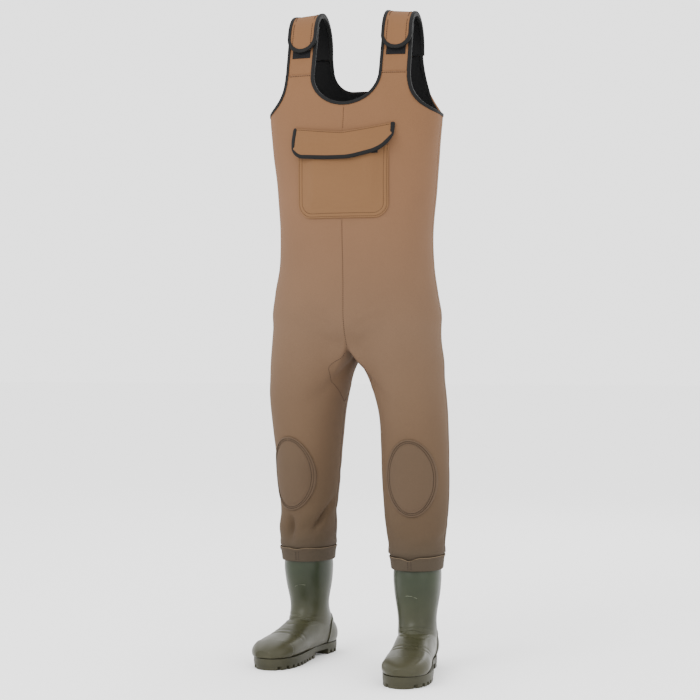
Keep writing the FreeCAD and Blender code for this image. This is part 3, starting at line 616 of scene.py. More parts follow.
def soft_copy(name, nodes, material, voxel, rounds, moved=(), seam=None):
    """A piece as cloth: one even mesh with rounded edges. Its end at the seam's height runs into the seam."""
    obj = cad_copy(name, nodes, moved)
    for v in obj.data.vertices:
        if seam and abs(v.co.z - seam) < 0.0006:
            v.co.z -= 0.003
    remesh = obj.modifiers.new("remesh", "REMESH")
    remesh.mode = "VOXEL"
    remesh.voxel_size = voxel
    soften = obj.modifiers.new("soften", "SMOOTH")
    soften.factor = 0.5
    soften.iterations = rounds
    apply_modifiers(obj)
    mesh = obj.data
    mesh.materials.clear()
    mesh.materials.append(material)
    mesh.polygons.foreach_set("material_index", [0] * len(mesh.polygons))
    shade_smooth(mesh)
    return obj


def line_inside(obj, lining, faces_in):
    """The faces for which faces_in(centre, normal) holds show the lining."""
    obj.data.materials.append(lining)
    for p in obj.data.polygons:
        if faces_in(p.center, p.normal):
            p.material_index = 1


# ---------------------------------------------------------------- stitches
def stitch(verts, faces, a, b, normal, radius):
    """One thread loop from a to b, half sunk into the cloth: a six-sided spindle with round ends."""
    along = (b - a).normalized()
    side = along.cross(normal).normalized()
    up = side.cross(along)
    start = len(verts)
    for t, k in ((0.0, 0.35), (0.18, 1.0), (0.82, 1.0), (1.0, 0.35)):
        centre = a.lerp(b, t)
        for i in range(6):
            angle = math.pi * i / 3
            verts.append(centre + side * (radius * k * math.cos(angle)) + up * (radius * k * math.sin(angle)))
    for ring in range(3):
        for i in range(6):
            j = (i + 1) % 6
            p = start + 6 * ring
            faces.append((p + i, p + j, p + 6 + j, p + 6 + i))
    faces.append(tuple(start + 5 - i for i in range(6)))
    faces.append(tuple(start + 18 + i for i in range(6)))


def stitches(name, paths, body, radius=0.0008, length=0.0031, gap=0.0013, material=None, blend=None):
    """Rows of stitches along paths, each a list of (point, normal)."""
    verts, faces = [], []
    for path in paths:
        if len(path) < 2:
            continue
        travelled = [0.0]
        for (p, _), (q, _) in zip(path, path[1:]):
            travelled.append(travelled[-1] + (q - p).length)
        s = gap

        def at(distance):
            i = int(np.searchsorted(travelled, distance)) - 1
            i = min(max(i, 0), len(path) - 2)
            t = (distance - travelled[i]) / max(travelled[i + 1] - travelled[i], 1e-9)
            p, m = path[i]
            q, n = path[i + 1]
            return p.lerp(q, t), m.lerp(n, t).normalized()
        while s + length < travelled[-1]:
            p, m = at(s)
            q, n = at(s + length)
            if (q - p).length < 2 * length:
                stitch(verts, faces, p + m * 0.0001, q + n * 0.0001, (m + n).normalized(), radius)
            s += length + gap
    if not verts:
        return None
    obj = new_object(name, verts, faces, material or THREAD)
    if blend:
        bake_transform(obj)
    else:
        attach(obj, body)
    return obj


def cast(tree, points, direction, back=0.4):
    """Where rays along a direction first meet a surface, as (point, outward normal). Misses are left out."""
    direction = Vector(direction).normalized()
    out = []
    for p in points:
        hit, normal, _, _ = tree.ray_cast(Vector(p) - direction * back, direction)
        if hit is None:
            continue
        if normal.dot(direction) > 0:
            normal = -normal
        out.append((hit, normal))
    return out


def wall_points(line, y):
    return [Vector((AXIS_X + x, y, z)) for x, z in line]


def fine(line, step=0.002):
    out = []
    for (x0, z0), (x1, z1) in zip(line, line[1:]):
        count = max(1, int(math.hypot(x1 - x0, z1 - z0) / step))
        out += [(x0 + (x1 - x0) * i / count, z0 + (z1 - z0) * i / count) for i in range(count)]
    return out + [line[-1]]


# ---------------------------------------------------------------- surfaces that pieces lie on
def on_torso(x, z, offset):
    """The point of the torso's front, moved out by offset, at sideways x from the axis and height z."""
    s = Section("torso", z)
    a, depth = s.a + offset, s.front + offset
    u = min(abs(x + AXIS_X - s.cx) / a, 0.9995)
    return Vector((x + AXIS_X, s.cy - depth * (1 - u ** s.square) ** (1 / s.square), z))


def on_leg(side, across, z, offset):
    """The point of a leg's front, moved out by offset, at a distance across from its middle."""
    s = Section(side, z)
    u = min(abs(across) / (s.a + offset), 0.9995)
    v = -(s.front + offset) * (1 - u ** s.square) ** (1 / s.square)
    return Vector((s.cx + across * s.c - v * s.s, s.cy + across * s.s + v * s.c, z))


def grid(name, rows, material, thickness=None, closed=False, capped=False):
    """A mesh through rows of points, thickened inwards. capped fills the last row."""
    width = len(rows[0])
    verts = [p for row in rows for p in row]
    faces = []
    for r in range(len(rows) - 1):
        for c in range(width if closed else width - 1):
            d = (c + 1) % width
            faces.append((r * width + c, (r + 1) * width + c, (r + 1) * width + d, r * width + d))
    if capped:
        verts.append(sum(rows[-1], Vector()) / width)
        start = (len(rows) - 1) * width
        faces += [(start + c, len(verts) - 1, start + (c + 1) % width) for c in range(width)]
    obj = new_object(name, verts, faces, material)
    if thickness:
        thicken(obj, thickness)
    return obj


def thicken(obj, thickness, inner_slot=0):
    solid = obj.modifiers.new("sheet", "SOLIDIFY")
    solid.thickness = thickness
    solid.offset = -1
    solid.use_even_offset = False
    solid.material_offset = inner_slot
    apply_modifiers(obj)
    shade_smooth(obj.data)


def sweep(name, path, half_width, half_thickness, material, sides=16):
    """A soft bar along path, whose points are (point, sheet normal, direction into the sheet)."""
    verts, faces = [], []
    for k, (p, normal, inward) in enumerate(path):
        end = min(k, len(path) - 1 - k)
        shrink = (0.55, 0.86, 1.0)[min(end, 2)]
        for i in range(sides):
            angle = 2 * math.pi * i / sides
            c, s = math.cos(angle), math.sin(angle)
            w = math.copysign(abs(c) ** 0.75, c) * half_width * shrink
            t = math.copysign(abs(s) ** 0.75, s) * half_thickness * shrink
            verts.append(p + inward * w + normal * t)
    n = len(path)
    for k in range(n - 1):
        for i in range(sides):
            j = (i + 1) % sides
            faces.append((k * sides + i, k * sides + j, (k + 1) * sides + j, (k + 1) * sides + i))
    faces.append(tuple(range(sides - 1, -1, -1)))
    faces.append(tuple((n - 1) * sides + i for i in range(sides)))
    obj = new_object(name, verts, faces, material)
    with editing(obj) as bm:
        bmesh.ops.recalc_face_normals(bm, faces=bm.faces)
    return obj


# ---------------------------------------------------------------- joints
JOINTS = {j["name"]: j for j in frame["record"]["behaviour"]["joints"]}


def flap_bend():
    p = Vector(JOINTS["flap_hinge"]["pos_m"])
    return "waders", "flap", p + Vector((0, 0, 0.007)), p - Vector((0, 0, 0.009))


def tab_bend(side):
    p = Vector(JOINTS[f"{side}_tab_hinge"]["pos_m"])
    return "waders", f"{side}_tab", p - TAB_DOWN * 0.006, p + TAB_DOWN * 0.008


TAB_DOWN = Vector((0, -math.sin(math.radians(156)), math.cos(math.radians(156))))


# ---------------------------------------------------------------- straps, bindings, pocket, pads, cuffs
TAB_STITCH = 0.0215         # its stitches from the strap's middle
SLIT = TAB_DOWN * -0.0016   # closes the slit between strap and tab


def straps():
    for side, sign in SIGN.items():
        strap, tab = f"{side}_shoulder_strap", f"{side}_strap_tab"
        edge, tab_edge = f"{side}_shoulder_strap_binding", f"{side}_tab_binding"
        front = soft_copy(f"{side}_strap_cloth", [f"{side}_front_strap"], NEOPRENE, 0.0014, 5, seam=STRAP_SEAM_Z)
        line_inside(front, LINED, lambda c, n: n.y > 0.35)
        place(front, "waders", "neoprene", f"{side}_front_strap")
        over = soft_copy(f"{side}_shoulder_cloth", [strap, tab], NEOPRENE, 0.0014, 6, [(tab, SLIT)], BACK_SEAM_Z)
        line_inside(over, LINED, lambda c, n: abs(n.x) < 0.7
                    and n.dot(Vector((0, c.y - AXIS_Y, max(c.z - SHOULDER_Z, 0.0)))) < 0)
        place_bending(over, tab_bend(side), "neoprene", strap, tab)
        rim = soft_copy(f"{side}_strap_rim", [edge, tab_edge], BINDING, 0.0011, 7,
                        [(tab_edge, SLIT), (edge, Vector((0, 0, -0.003)))])
        place_bending(rim, tab_bend(side), "binding", edge, tab_edge)
        tree = tree_of(over)
        middle = sign * (STRAP_IN + STRAP_OUT) / 2
        lines = []
        for x in (middle - TAB_STITCH, middle + TAB_STITCH):
            over_top = [Vector((AXIS_X + x, AXIS_Y - 0.006 - 0.0012 * i, 1.40)) for i in range(36)]
            down_front = [Vector((AXIS_X + x, 0, 1.436 - 0.0012 * i)) for i in range(48)]
            top = cast(tree, over_top, (0, 0, -1), 0.2)
            low = cast(tree, down_front, (0, 1, 0), 0.5)
            lines += [[h for h in top if h[0].z > 1.436], [h for h in low if h[0].y < AXIS_Y - 0.03]]
        stitches(f"{side}_tab_stitches", lines, None, blend=tab_bend(side))
        patch = soft_copy(f"{side}_loop_pile", [f"{side}_loop_patch"], HOOKS, 0.0007, 2)
        place(patch, "waders", "hook_and_loop", f"{side}_loop_patch")
        seam = fine([(sign * x, STRAP_SEAM_Z - 0.003) for x in (STRAP_IN + 0.007, STRAP_OUT - 0.007)])
        stitches(f"{side}_strap_seam", [cast(TREES["garment"], wall_points(seam, 0), (0, 1, 0))], "waders")


def body_rims():
    names = ["front_neck_binding", "back_neck_binding"]
    names += [f"{side}_{part}" for side in SIGN for part in ("armhole_binding", "front_strap_binding")]
    rim = soft_copy("edge_binding", names, BINDING, 0.0012, 6)
    place(rim, "waders", "binding", *names)


POCKET_HALF, POCKET_TOP, POCKET_LOW, POCKET_R = 0.103, 1.150, 0.991, 0.034
POCKET_SEAMS = (0.0035, 0.0105)      # two rows of stitches, from its edge


def pocket_depth(x, z):
    """Distance inside the pocket's outline."""
    if abs(x) > POCKET_HALF - POCKET_R and z < POCKET_LOW + POCKET_R:
        return POCKET_R - math.hypot(abs(x) - POCKET_HALF + POCKET_R, POCKET_LOW + POCKET_R - z)
    return min(POCKET_HALF - abs(x), z - POCKET_LOW)


def pocket_offset(x, z):
    """The pocket sheet's outer face from the chest."""
    d = pocket_depth(x, z)
    swell = 0.0062 * smooth((d - 0.012) / 0.03) * (0.75 + 0.25 * smooth((z - POCKET_LOW) / 0.12))
    groove = 0.0009 * bell(d - POCKET_SEAMS[0], 0.0012) + 0.0011 * bell(d - POCKET_SEAMS[1], 0.0014)
    edge = 0.0034 - 0.0012 * bell(d, 0.0008)
    sag = 0.0011 * noise.noise(Vector((x * 16, 0.3, z * 13)))
    return edge + swell - groove + sag * smooth(d / 0.03)


def spaced(count, edge):
    """0 to 1, closer together towards both ends."""
    steps = [i / (count - 1) for i in range(count)]
    return [t + (math.sin(2 * math.pi * t) / (2 * math.pi)) * -edge for t in steps]


def pocket():
    rows = []
    for v in spaced(74, 0.7):
        z = POCKET_TOP + (POCKET_LOW - POCKET_TOP) * v
        drop = max(POCKET_LOW + POCKET_R - z, 0.0)
        half = POCKET_HALF - POCKET_R + math.sqrt(max(POCKET_R ** 2 - drop ** 2, 0.0))
        xs = [half * (2 * u - 1) for u in spaced(90, 0.8)]
        rows.append([on_torso(x, z, pocket_offset(x, z)) for x in xs])
    sheet = grid("pocket_cloth", rows, POCKET, 0.0026)
    place(sheet, "waders", "neoprene", "pocket_front")
    tree = tree_of(sheet)
    lines = []
    for inset in POCKET_SEAMS:
        w, low, r = POCKET_HALF - inset, POCKET_LOW + inset, POCKET_R - inset
        half = [(-w, POCKET_TOP - 0.004)]
        half += [(-w + r - r * math.cos(a), low + r - r * math.sin(a)) for a in np.linspace(0, math.pi / 2, 14)]
        path = half + [(-x, z) for x, z in reversed(half)]
        lines.append(cast(tree, wall_points(fine(path), 0), (0, 1, 0)))
    stitches("pocket_stitches", lines, "waders", 0.00045, 0.0030, 0.0014)


FLAP_HALF, FLAP_LOW = 0.114, 1.121
FLAP_SEAM = (1.193, 1.180, 1.200)           # its seam on the chest: the wearer's right end, middle, left end
FLAP_RIGHT_R, FLAP_LEFT_R = 0.027, 0.046


def flap_offset(z):
    """The flap's inner face from the chest: sewn down at the top, standing over the pocket below."""
    return 0.0148 - 0.0138 * smooth((z - 1.152) / 0.048)


def flap_top(x):
    right, middle, left = FLAP_SEAM
    t = abs(x) / FLAP_HALF
    return middle + ((left if x > 0 else right) - middle) * (t * 0.75 + 0.25 * t * t)


def flap_bottom(x):
    base = FLAP_LOW + 0.004 * smooth((-x - 0.02) / 0.09) + 0.017 * smooth((x - 0.005) / 0.1)
    for r, out in ((FLAP_RIGHT_R, -x), (FLAP_LEFT_R, x)):
        over = out - (FLAP_HALF - r)
        if over > 0:
            base += r - math.sqrt(max(r * r - over * over, 0.0))
    return base


def flap_point(x, z):
    lift = 0.0045 * smooth((x - 0.055) / 0.05) * smooth((1.165 - z) / 0.03)
    curl = 0.0015 * bell(z - flap_bottom(x), 0.006)
    wave = 0.0008 * math.sin(x * 41.0) * smooth((1.17 - z) / 0.03)
    return on_torso(x, z, flap_offset(z) + 0.003 + lift - curl + wave)


def flap_frame(x, z, inward):
    """Point, outward normal and inward direction for the flap's rim."""
    p = flap_point(x, z)
    e = 0.0015
    across, upward = flap_point(x + e, z) - flap_point(x - e, z), flap_point(x, z + e) - flap_point(x, z - e)
    normal = across.cross(upward).normalized()
    towards = flap_point(x + inward[0] * e, z + inward[1] * e) - p
    towards = (towards - normal * towards.dot(normal)).normalized()
    if normal.y > 0:
        normal = -normal
    return p, normal, towards


def flap():
    rows = []
    xs = [FLAP_HALF * math.sin(math.pi / 2 * t) for t in np.linspace(-1, 1, 96)]
    for v in np.linspace(0, 1, 34):
        rows.append([flap_point(x, flap_top(x) + (flap_bottom(x) - flap_top(x)) * v) for x in xs])
    cloth = grid("flap_cloth", rows, POCKET, 0.003)
    seam = [(x, flap_top(x) - 0.003) for x in xs]
    tree = tree_of(cloth)
    place_bending(cloth, flap_bend(), "neoprene", "pocket_flap", "flap_seam_strip")
    stitches("flap_seam_stitches", [cast(tree, wall_points(fine(seam), 0), (0, 1, 0))], "waders", 0.0006)
    side_z = lambda x: list(np.linspace(flap_top(x), flap_bottom(x), 16))[:-1]
    outline = [(-FLAP_HALF, z, (1.0, 0.0)) for z in side_z(-FLAP_HALF)]
    for x in xs:
        e = 0.0008
        slope = (flap_bottom(min(x + e, FLAP_HALF)) - flap_bottom(max(x - e, -FLAP_HALF))) / (2 * e)
        inward = Vector((-slope, 1.0)).normalized()
        outline.append((x, flap_bottom(x), tuple(inward)))
    outline += [(FLAP_HALF, z, (-1.0, 0.0)) for z in reversed(side_z(FLAP_HALF))]
    path = []
    for x, z, inward in outline:
        p, normal, towards = flap_frame(x, z, inward)
        path.append((p + towards * 0.0030 - normal * 0.0015, normal, towards))
    rim = sweep("flap_rim", path, 0.0049, 0.0031, BINDING)
    place_bending(rim, flap_bend(), "binding", "pocket_flap_binding")
    strip = soft_copy("flap_hooks", ["flap_hook_strip"], HOOKS, 0.0007, 1)
    place(strip, "flap", "hook_and_loop", "flap_hook_strip")


KNEE_Z, KNEE_HALF, KNEE_HEIGHT = 0.423, 0.057, 0.084
KNEE_SEAMS = (0.0042, 0.0082)        # two rows of stitches, from its edge
KNEE_RINGS = (1.0, 0.985, 0.965, 0.945, 0.925, 0.905, 0.885, 0.865, 0.845, 0.82, 0.78, 0.7, 0.58, 0.44,
              0.3, 0.15)


def knee_offset(d):
    groove = 0.0012 * bell(d - KNEE_SEAMS[0], 0.0013) + 0.0012 * bell(d - KNEE_SEAMS[1], 0.0013)
    return 0.0034 - 0.0011 * bell(d, 0.0008) + 0.0016 * smooth((d - 0.009) / 0.02) - groove


def knee_pads():
    count = 96
    for side in SIGN:
        rows, lines = [], []
        for ring in KNEE_RINGS:
            d = (1 - ring) * KNEE_HALF
            row = []
            for i in range(count):
                angle = 2 * math.pi * i / count
                x, z = KNEE_HALF * ring * math.sin(angle), KNEE_Z + KNEE_HEIGHT * ring * math.cos(angle)
                uneven = 0.0006 * noise.noise(Vector((x * 30, z * 24, 0.7)))
                row.append(on_leg(side, x, z, knee_offset(d) + uneven))
            rows.append(row)
        pad = grid(f"{side}_knee_cloth", rows, PATCH, 0.0028, closed=True, capped=True)
        place(pad, "waders", "knee_patch", f"{side}_knee_pad")
        tree = tree_of(pad)
        s = Section(side, KNEE_Z)
        ahead = Vector((s.s, -s.c, 0))
        for inset in KNEE_SEAMS:
            path = []
            for i in range(241):
                angle = 2 * math.pi * i / 240
                x, z = (KNEE_HALF - inset) * math.sin(angle), KNEE_Z + (KNEE_HEIGHT - inset) * math.cos(angle)
                path.append(on_leg(side, x, z, 0.004))
            lines.append(cast(tree, path, -ahead, 0.05))
        stitches(f"{side}_knee_stitches", lines, "waders", 0.0007, 0.0030, 0.0010)


CUFF_TOP, CUFF_LOW = 0.2530, 0.2220
CUFF_DIP = {"left": 0.0065, "right": 0.003}     # at its seam in front
CUFF_TILT = {"left": 0.004, "right": 0.0}       # its right end hangs lower, seen from the front
CUFF_HOLD_Z = 0.247         # the leg's section that it keeps above this height
# Share of its height and distance from the leg, up its outer face and down its inner one.
CUFF_PROFILE = [(0.0, 0.0010), (0.0, 0.0024), (0.03, 0.0034), (0.09, 0.0040), (0.2, 0.0044), (0.35, 0.0048),
                (0.5, 0.0053), (0.65, 0.0058), (0.8, 0.0063), (0.92, 0.0067), (0.98, 0.0068), (1.0, 0.0065),
                (1.0, 0.0056), (0.985, 0.0046), (0.9, 0.0038), (0.7, 0.0030), (0.4, 0.0022), (0.1, 0.0012)]
CUFF_EDGE_ROWS = (10, 11, 12)                   # faces of the profile that show its cut edge


def leg_ring(side, z, offset, angle):
    """A point round a leg, by angle from its front."""
    s = Section(side, max(z, LEGS[side][-1][0]))
    sq = LEG_SQUARE
    u = (s.a + offset) * math.copysign(abs(math.sin(angle)) ** (2 / sq), math.sin(angle))
    v = -(s.front + offset) * math.copysign(abs(math.cos(angle)) ** (2 / sq), math.cos(angle))
    return Vector((s.cx + u * s.c - v * s.s, s.cy + u * s.s + v * s.c, z))


def cuffs():
    count = 144
    for side, sign in SIGN.items():
        rows = []
        seam = -0.10 * sign
        for t, offset in CUFF_PROFILE:
            row = []
            for i in range(count):
                angle = 2 * math.pi * i / count
                away = math.atan2(math.sin(angle - seam), math.cos(angle - seam))
                dip = CUFF_DIP[side] * bell(away, 0.2) + CUFF_TILT[side] * (1 - math.sin(angle)) / 2
                at = Vector((math.sin(angle) * 1.7, math.cos(angle) * 1.7, sign * 3.0))
                ease = 0.0010 * noise.noise(at)
                z = CUFF_LOW + (CUFF_TOP - CUFF_LOW) * t - dip * t + ease * t
                groove = 0.0010 * bell(away * 60, 1.3) if 0.1 < t and offset > 0.0043 else 0.0
                soft = 0.0008 * noise.noise(Vector((math.sin(angle) * 4, math.cos(angle) * 4, t + sign)))
                lift = 0.0012 if z > CUFF_HOLD_Z else 0.0
                base = leg_ring(side, min(z, CUFF_HOLD_Z), offset + soft * t + lift - groove, angle)
                row.append(Vector((base.x, base.y, z)))
            rows.append(row)
        rows.append(rows[0])
        ring = grid(f"{side}_cuff_cloth", rows, NEOPRENE, closed=True)
        ring.data.materials.append(CUT_EDGE)
        for index, p in enumerate(ring.data.polygons):
            if index // count in CUFF_EDGE_ROWS:
                p.material_index = 1
        with editing(ring) as bm:
            bmesh.ops.remove_doubles(bm, verts=bm.verts, dist=1e-7)
            bmesh.ops.recalc_face_normals(bm, faces=bm.faces)
        place(ring, "waders", "neoprene", f"{side}_cuff")
        tree = tree_of(ring)
        lines = []
        for shift in (-0.055, 0.055):
            top = [leg_ring(side, CUFF_LOW + 0.002 + 0.0009 * k, 0.01, seam + shift) for k in range(26)]
            s = Section(side, 0.235)
            outward = Vector((top[0].x - s.cx, top[0].y - s.cy, 0)).normalized()
            lines.append(cast(tree, top, -outward, 0.05))
        stitches(f"{side}_cuff_stitches", lines, "waders", 0.0005, 0.0030, 0.0012)


# ---------------------------------------------------------------- boots
# Sideways and backwards place of the ankle, and the foot's turn outwards in degrees.
ANKLES = {"left": (0.158, -0.076, 4.0), "right": (-0.123, 0.044, 12.0)}
# Height, depth and half width of the creases in front of the ankle.
ANKLE_CREASES = ((0.099, 0.0010, 0.0015), (0.091, 0.0014, 0.0017), (0.083, 0.0007, 0.0015))


def boot_place(side, outward, forward, z):
    """A boot's own point as a place: outward from its middle line, forward of its ankle."""
    x, y, turn = ANKLES[side]
    sign = SIGN[side]
    a = math.radians(turn) * sign
    px, py = outward * sign, -forward
    c, s = math.cos(a), math.sin(a)
    return Vector((AXIS_X + x + px * c - py * s, AXIS_Y + y + px * s + py * c, z))


def boot_local(side, p):
    """A place as outward, forward and height of its boot."""
    x, y, turn = ANKLES[side]
    a = math.radians(turn) * SIGN[side]
    dx, dy = p.x - AXIS_X - x, p.y - AXIS_Y - y
    u, v = dx * math.cos(a) + dy * math.sin(a), -dx * math.sin(a) + dy * math.cos(a)
    return u * SIGN[side], -v, p.z


def boot_crease(side):
    shift = 0.002 if side == "left" else 0.0

    def depth(p):
        out, ahead, z = boot_local(side, p)
        if ahead < 0.0 or z > 0.24 or z < 0.03:
            return 0.0
        fade = smooth((ahead - 0.005) / 0.05)
        total = 0.0
        for k, (height, size, width) in enumerate(ANKLE_CREASES):
            bend = height + shift - 0.32 * abs(out) ** 1.25 + 0.0015 * math.sin(out * 90 + k * 2)
            total -= size * bell(z - bend, width)
            total += 0.5 * size * bell(z - bend - 0.0045, 0.003)
        flex = 0.0012 * bell(ahead - 0.118, 0.004) + 0.0009 * bell(ahead - 0.103, 0.004)
        flex *= smooth((z - 0.05) / 0.015)
        wobble = 0.0009 * noise.noise(p * 22.0)
        return total * fade - flex + wobble * fade
    return depth


def boots():
    for side in SIGN:
        upper = soft_copy(f"{side}_boot_rubber", [f"{side}_boot_upper"], BOOT, 0.0016, 4)
        displace(upper, boot_crease(side))
        place(upper, "waders", "boot_rubber", f"{side}_boot_upper")
        for part in ("toe_cap", "heel_counter"):
            cap = soft_copy(f"{side}_{part}_rubber", [f"{side}_{part}"], BOOT, 0.0009, 3)
            displace(cap, boot_crease(side))
            place(cap, "waders", "boot_rubber", f"{side}_{part}")
        tree = tree_of(upper)
        ahead = boot_place(side, 0.0, 1.0, 0.0) - boot_place(side, 0.0, 0.0, 0.0)
        # A thin ridge round the shin, whose light colour is a painted highlight on the moulded band's edge.
        arc = []
        for i in range(31):
            t = i / 30 * 2 - 1
            arc.append(boot_place(side, 0.013 * t - 0.006, 0.0, 0.1655 + 0.0025 * (1 - t * t) - 0.0022 * t))
        hits = cast(tree, arc, -ahead, 0.3)
        path = [(p, n, ahead.cross(n).normalized()) for p, n in hits]
        ridge = sweep(f"{side}_shin_highlight_ridge", path, 0.0004, 0.0003, SHIN_PAINTED_HIGHLIGHT, 8)
        place(ridge, "waders", "boot_rubber")


# ---------------------------------------------------------------- garment
def mask_flat(p):
    """Less ripple where other pieces lie on the sheet."""
    x, y, z = p.x - AXIS_X, p.y - AXIS_Y, p.z
    keep = 1.0
    if y < 0.03 and abs(x) < 0.15 and 0.96 < z < 1.25:
        keep *= 0.12 + 0.88 * smooth((abs(x) - 0.118) / 0.03)
    keep *= smooth((z - 0.248) / 0.007)
    keep *= 1 - 0.85 * smooth((z - 1.215) / 0.04)
    for side in SIGN:
        s = Section(side, KNEE_Z)
        if (p.x - AXIS_X) * SIGN[side] > 0 and abs(z - KNEE_Z) < KNEE_HEIGHT + 0.02:
            dx, dy = p.x - s.cx, p.y - s.cy
            across, out = dx * s.c + dy * s.s, -dx * s.s + dy * s.c
            if out < 0:
                d = math.hypot(across / KNEE_HALF, (z - KNEE_Z) / KNEE_HEIGHT)
                keep *= 0.1 + 0.9 * smooth((d - 1.06) / 0.25)
    return keep


def leg_crease(side, p, z, around, width, size, slope, spread):
    """Depth at p of a fold round part of a leg, by one row of FOLDS."""
    s = Section(side, min(max(p.z, 0.25), 0.82))
    angle = math.degrees(math.atan2(p.x - s.cx, -(p.y - s.cy)))
    off = (angle - around + 180) % 360 - 180
    middle = z + slope * math.radians(off) * 0.07
    return -size * bell(p.z - middle, width) * bell(math.radians(off), spread)


# Leg, height, degrees round from the front, half width, depth, slope, half length in radians.
FOLDS = [
    ("right", 0.300, -21.0, 0.026, 0.0150, 0.0, 0.13),
    ("right", 0.322, 45.0, 0.010, 0.0130, 1.1, 0.36),
    ("right", 0.300, 14.0, 0.010, 0.0030, 0.7, 0.30),
    ("right", 0.288, 60.0, 0.009, 0.0040, 0.2, 0.5),
    ("right", 0.278, 25.0, 0.012, -0.0065, 0.0, 0.8),
    ("right", 0.335, 20.0, 0.016, -0.0035, 0.2, 0.35),
    ("right", 0.345, 78.0, 0.012, -0.0030, 0.2, 0.4),
    ("right", 0.300, -55.0, 0.02, -0.0030, 0.0, 0.35),
    ("right", 0.355, 150.0, 0.013, 0.0050, 0.3, 0.8),
    ("right", 0.300, 170.0, 0.012, 0.0050, -0.3, 0.8),
    ("right", 0.440, 165.0, 0.014, 0.0050, 0.2, 0.9),
    ("right", 0.600, 30.0, 0.030, 0.0030, 0.7, 0.5),
    ("right", 0.655, 62.0, 0.016, 0.0045, 1.2, 0.5),
    ("left", 0.278, 0.0, 0.010, -0.0022, 0.3, 0.9),
    ("left", 0.296, -40.0, 0.010, 0.0026, -0.5, 0.4),
    ("left", 0.290, 75.0, 0.010, 0.0034, 0.3, 0.4),
    ("left", 0.350, 170.0, 0.013, 0.0050, 0.3, 0.8),
    ("left", 0.430, 180.0, 0.014, 0.0050, -0.2, 0.9),
    ("left", 0.300, 190.0, 0.012, 0.0045, -0.3, 0.8),
    ("left", 0.655, -62.0, 0.016, 0.0045, -1.2, 0.5),
    ("left", 0.600, -30.0, 0.030, 0.0030, -0.7, 0.5),
]


def garment_ripple(p):
    """How far the worn sheet stands off its pattern at p, in metres."""
    depth = 0.0020 * noise.noise(p * 6.0) + 0.0011 * noise.noise(p * 15.0)
    side = "left" if p.x > AXIS_X else "right"
    if p.z < 0.72:
        for leg, z, *shape in FOLDS:
            if leg == side and abs(p.z - z) < 0.12:
                depth += leg_crease(side, p, z, *shape)
        depth += 0.0056 * bell(p.z - 0.259, 0.011)
    x, y = p.x - AXIS_X, p.y - AXIS_Y
    if p.z > 0.7 and y < 0:
        for height, start, rise, size in ((0.755, 0.03, 0.5, 0.0024), (0.79, 0.05, 0.65, 0.0018)):
            line_z = height + rise * (abs(x) - start)
            depth -= size * bell(p.z - line_z, 0.008) * smooth((abs(x) - 0.015) / 0.02) \
                * (1 - smooth((abs(x) - 0.07) / 0.05))
    return depth * mask_flat(p)


TREES = {}


def seam_valley(p):
    """The seams' shallow grooves: front, back and sides."""
    x, y = p.x - AXIS_X, p.y - AXIS_Y
    if p.z > 0.705:
        groove = bell(x, 0.0016)
        if abs(x) > 0.1:
            groove += bell(y, 0.0016)
    else:
        s = Section("left" if x > 0 else "right", p.z)
        groove = bell(p.y - s.cy, 0.0016)
    return -0.0010 * groove


def gusset_outline():
    half, top, shoulder, low = 0.078, 0.721, 0.668, 0.585
    curve = hermite((half, shoulder), (0.0, low), (0.0, -0.07), (-0.05, -0.045), 30)
    return [(half, top)] + curve, half


def panel_of(p):
    x, y = p.x - AXIS_X, p.y - AXIS_Y
    outline, half = gusset_outline()
    if abs(x) < 0.062 and p.z < 0.721 and abs(y) < half:
        low = np.interp(abs(y), *zip(*reversed(outline[1:])))
        if p.z > low:
            return "crotch_gusset"
    side = "left" if x > 0 else "right"
    middle = AXIS_Y if p.z > 0.7 else Section(side, p.z).cy
    return f"{'front' if p.y < middle else 'back'}_{side}_panel"


def split_panels(obj):
    """The sheet's cut pieces as objects of their own, shaded as one sheet."""
    mesh = obj.data
    names = ["front_left_panel", "front_right_panel", "back_left_panel", "back_right_panel", "crotch_gusset"]
    normals = [v.normal.copy() for v in mesh.vertices]
    tags = [panel_of(p.center) for p in mesh.polygons]
    for name in names:
        polygons = [p for p, tag in zip(mesh.polygons, tags) if tag == name]
        used = sorted({i for p in polygons for i in p.vertices})
        number = {old: new for new, old in enumerate(used)}
        piece = new_object(name + "_cloth", [mesh.vertices[i].co for i in used],
                           [tuple(number[i] for i in p.vertices) for p in polygons], NEOPRENE)
        piece.data.materials.append(LINED)
        for p, source in zip(piece.data.polygons, polygons):
            p.material_index = source.material_index
        piece.data.normals_split_custom_set_from_vertices([normals[i] for i in used])
        place(piece, "waders", "neoprene", name)
    bpy.data.objects.remove(obj)


def leg_line(side, top, count):
    """Points down the middle of a leg's depth, each 2 mm below the last, that end above the cuff."""
    heights = [top - 0.002 * k for k in range(count)]
    return [Vector((AXIS_X, AXIS_Y if z > 0.70 else Section(side, z).cy, z)) for z in heights if z >= 0.258]


def seam_stitches():
    tree = TREES["garment"]
    front = [fine([(0.0, NECK_LOW_Z - 0.012), (0.0, 1.186)]), fine([(0.0, POCKET_LOW - 0.003), (0.0, 0.712)])]
    lines = [cast(tree, wall_points(l, 0), (0, 1, 0)) for l in front]
    back = fine([(0.0, NECK_BACK_Z - 0.012), (0.0, 0.712)])
    lines.append(cast(tree, wall_points(back, 0), (0, -1, 0), 0.5))
    for side, sign in SIGN.items():
        lines.append(cast(tree, leg_line(side, 1.220, 490), (-sign, 0, 0), 0.5))
        lines.append(cast(tree, leg_line(side, 0.582, 160), (sign, 0, 0), 0.0))
        outline, _ = gusset_outline()
        for turn in (1, -1):
            path = [Vector((AXIS_X + sign * 0.0005, AXIS_Y + turn * y, z))
                    for y, z in fine(outline, 0.0015) if z < 0.698]
            lines.append(cast(tree, path, (sign, 0, 0), 0.0))
    stitches("seam_stitches", lines, "waders", 0.0006, 0.0034, 0.0014)


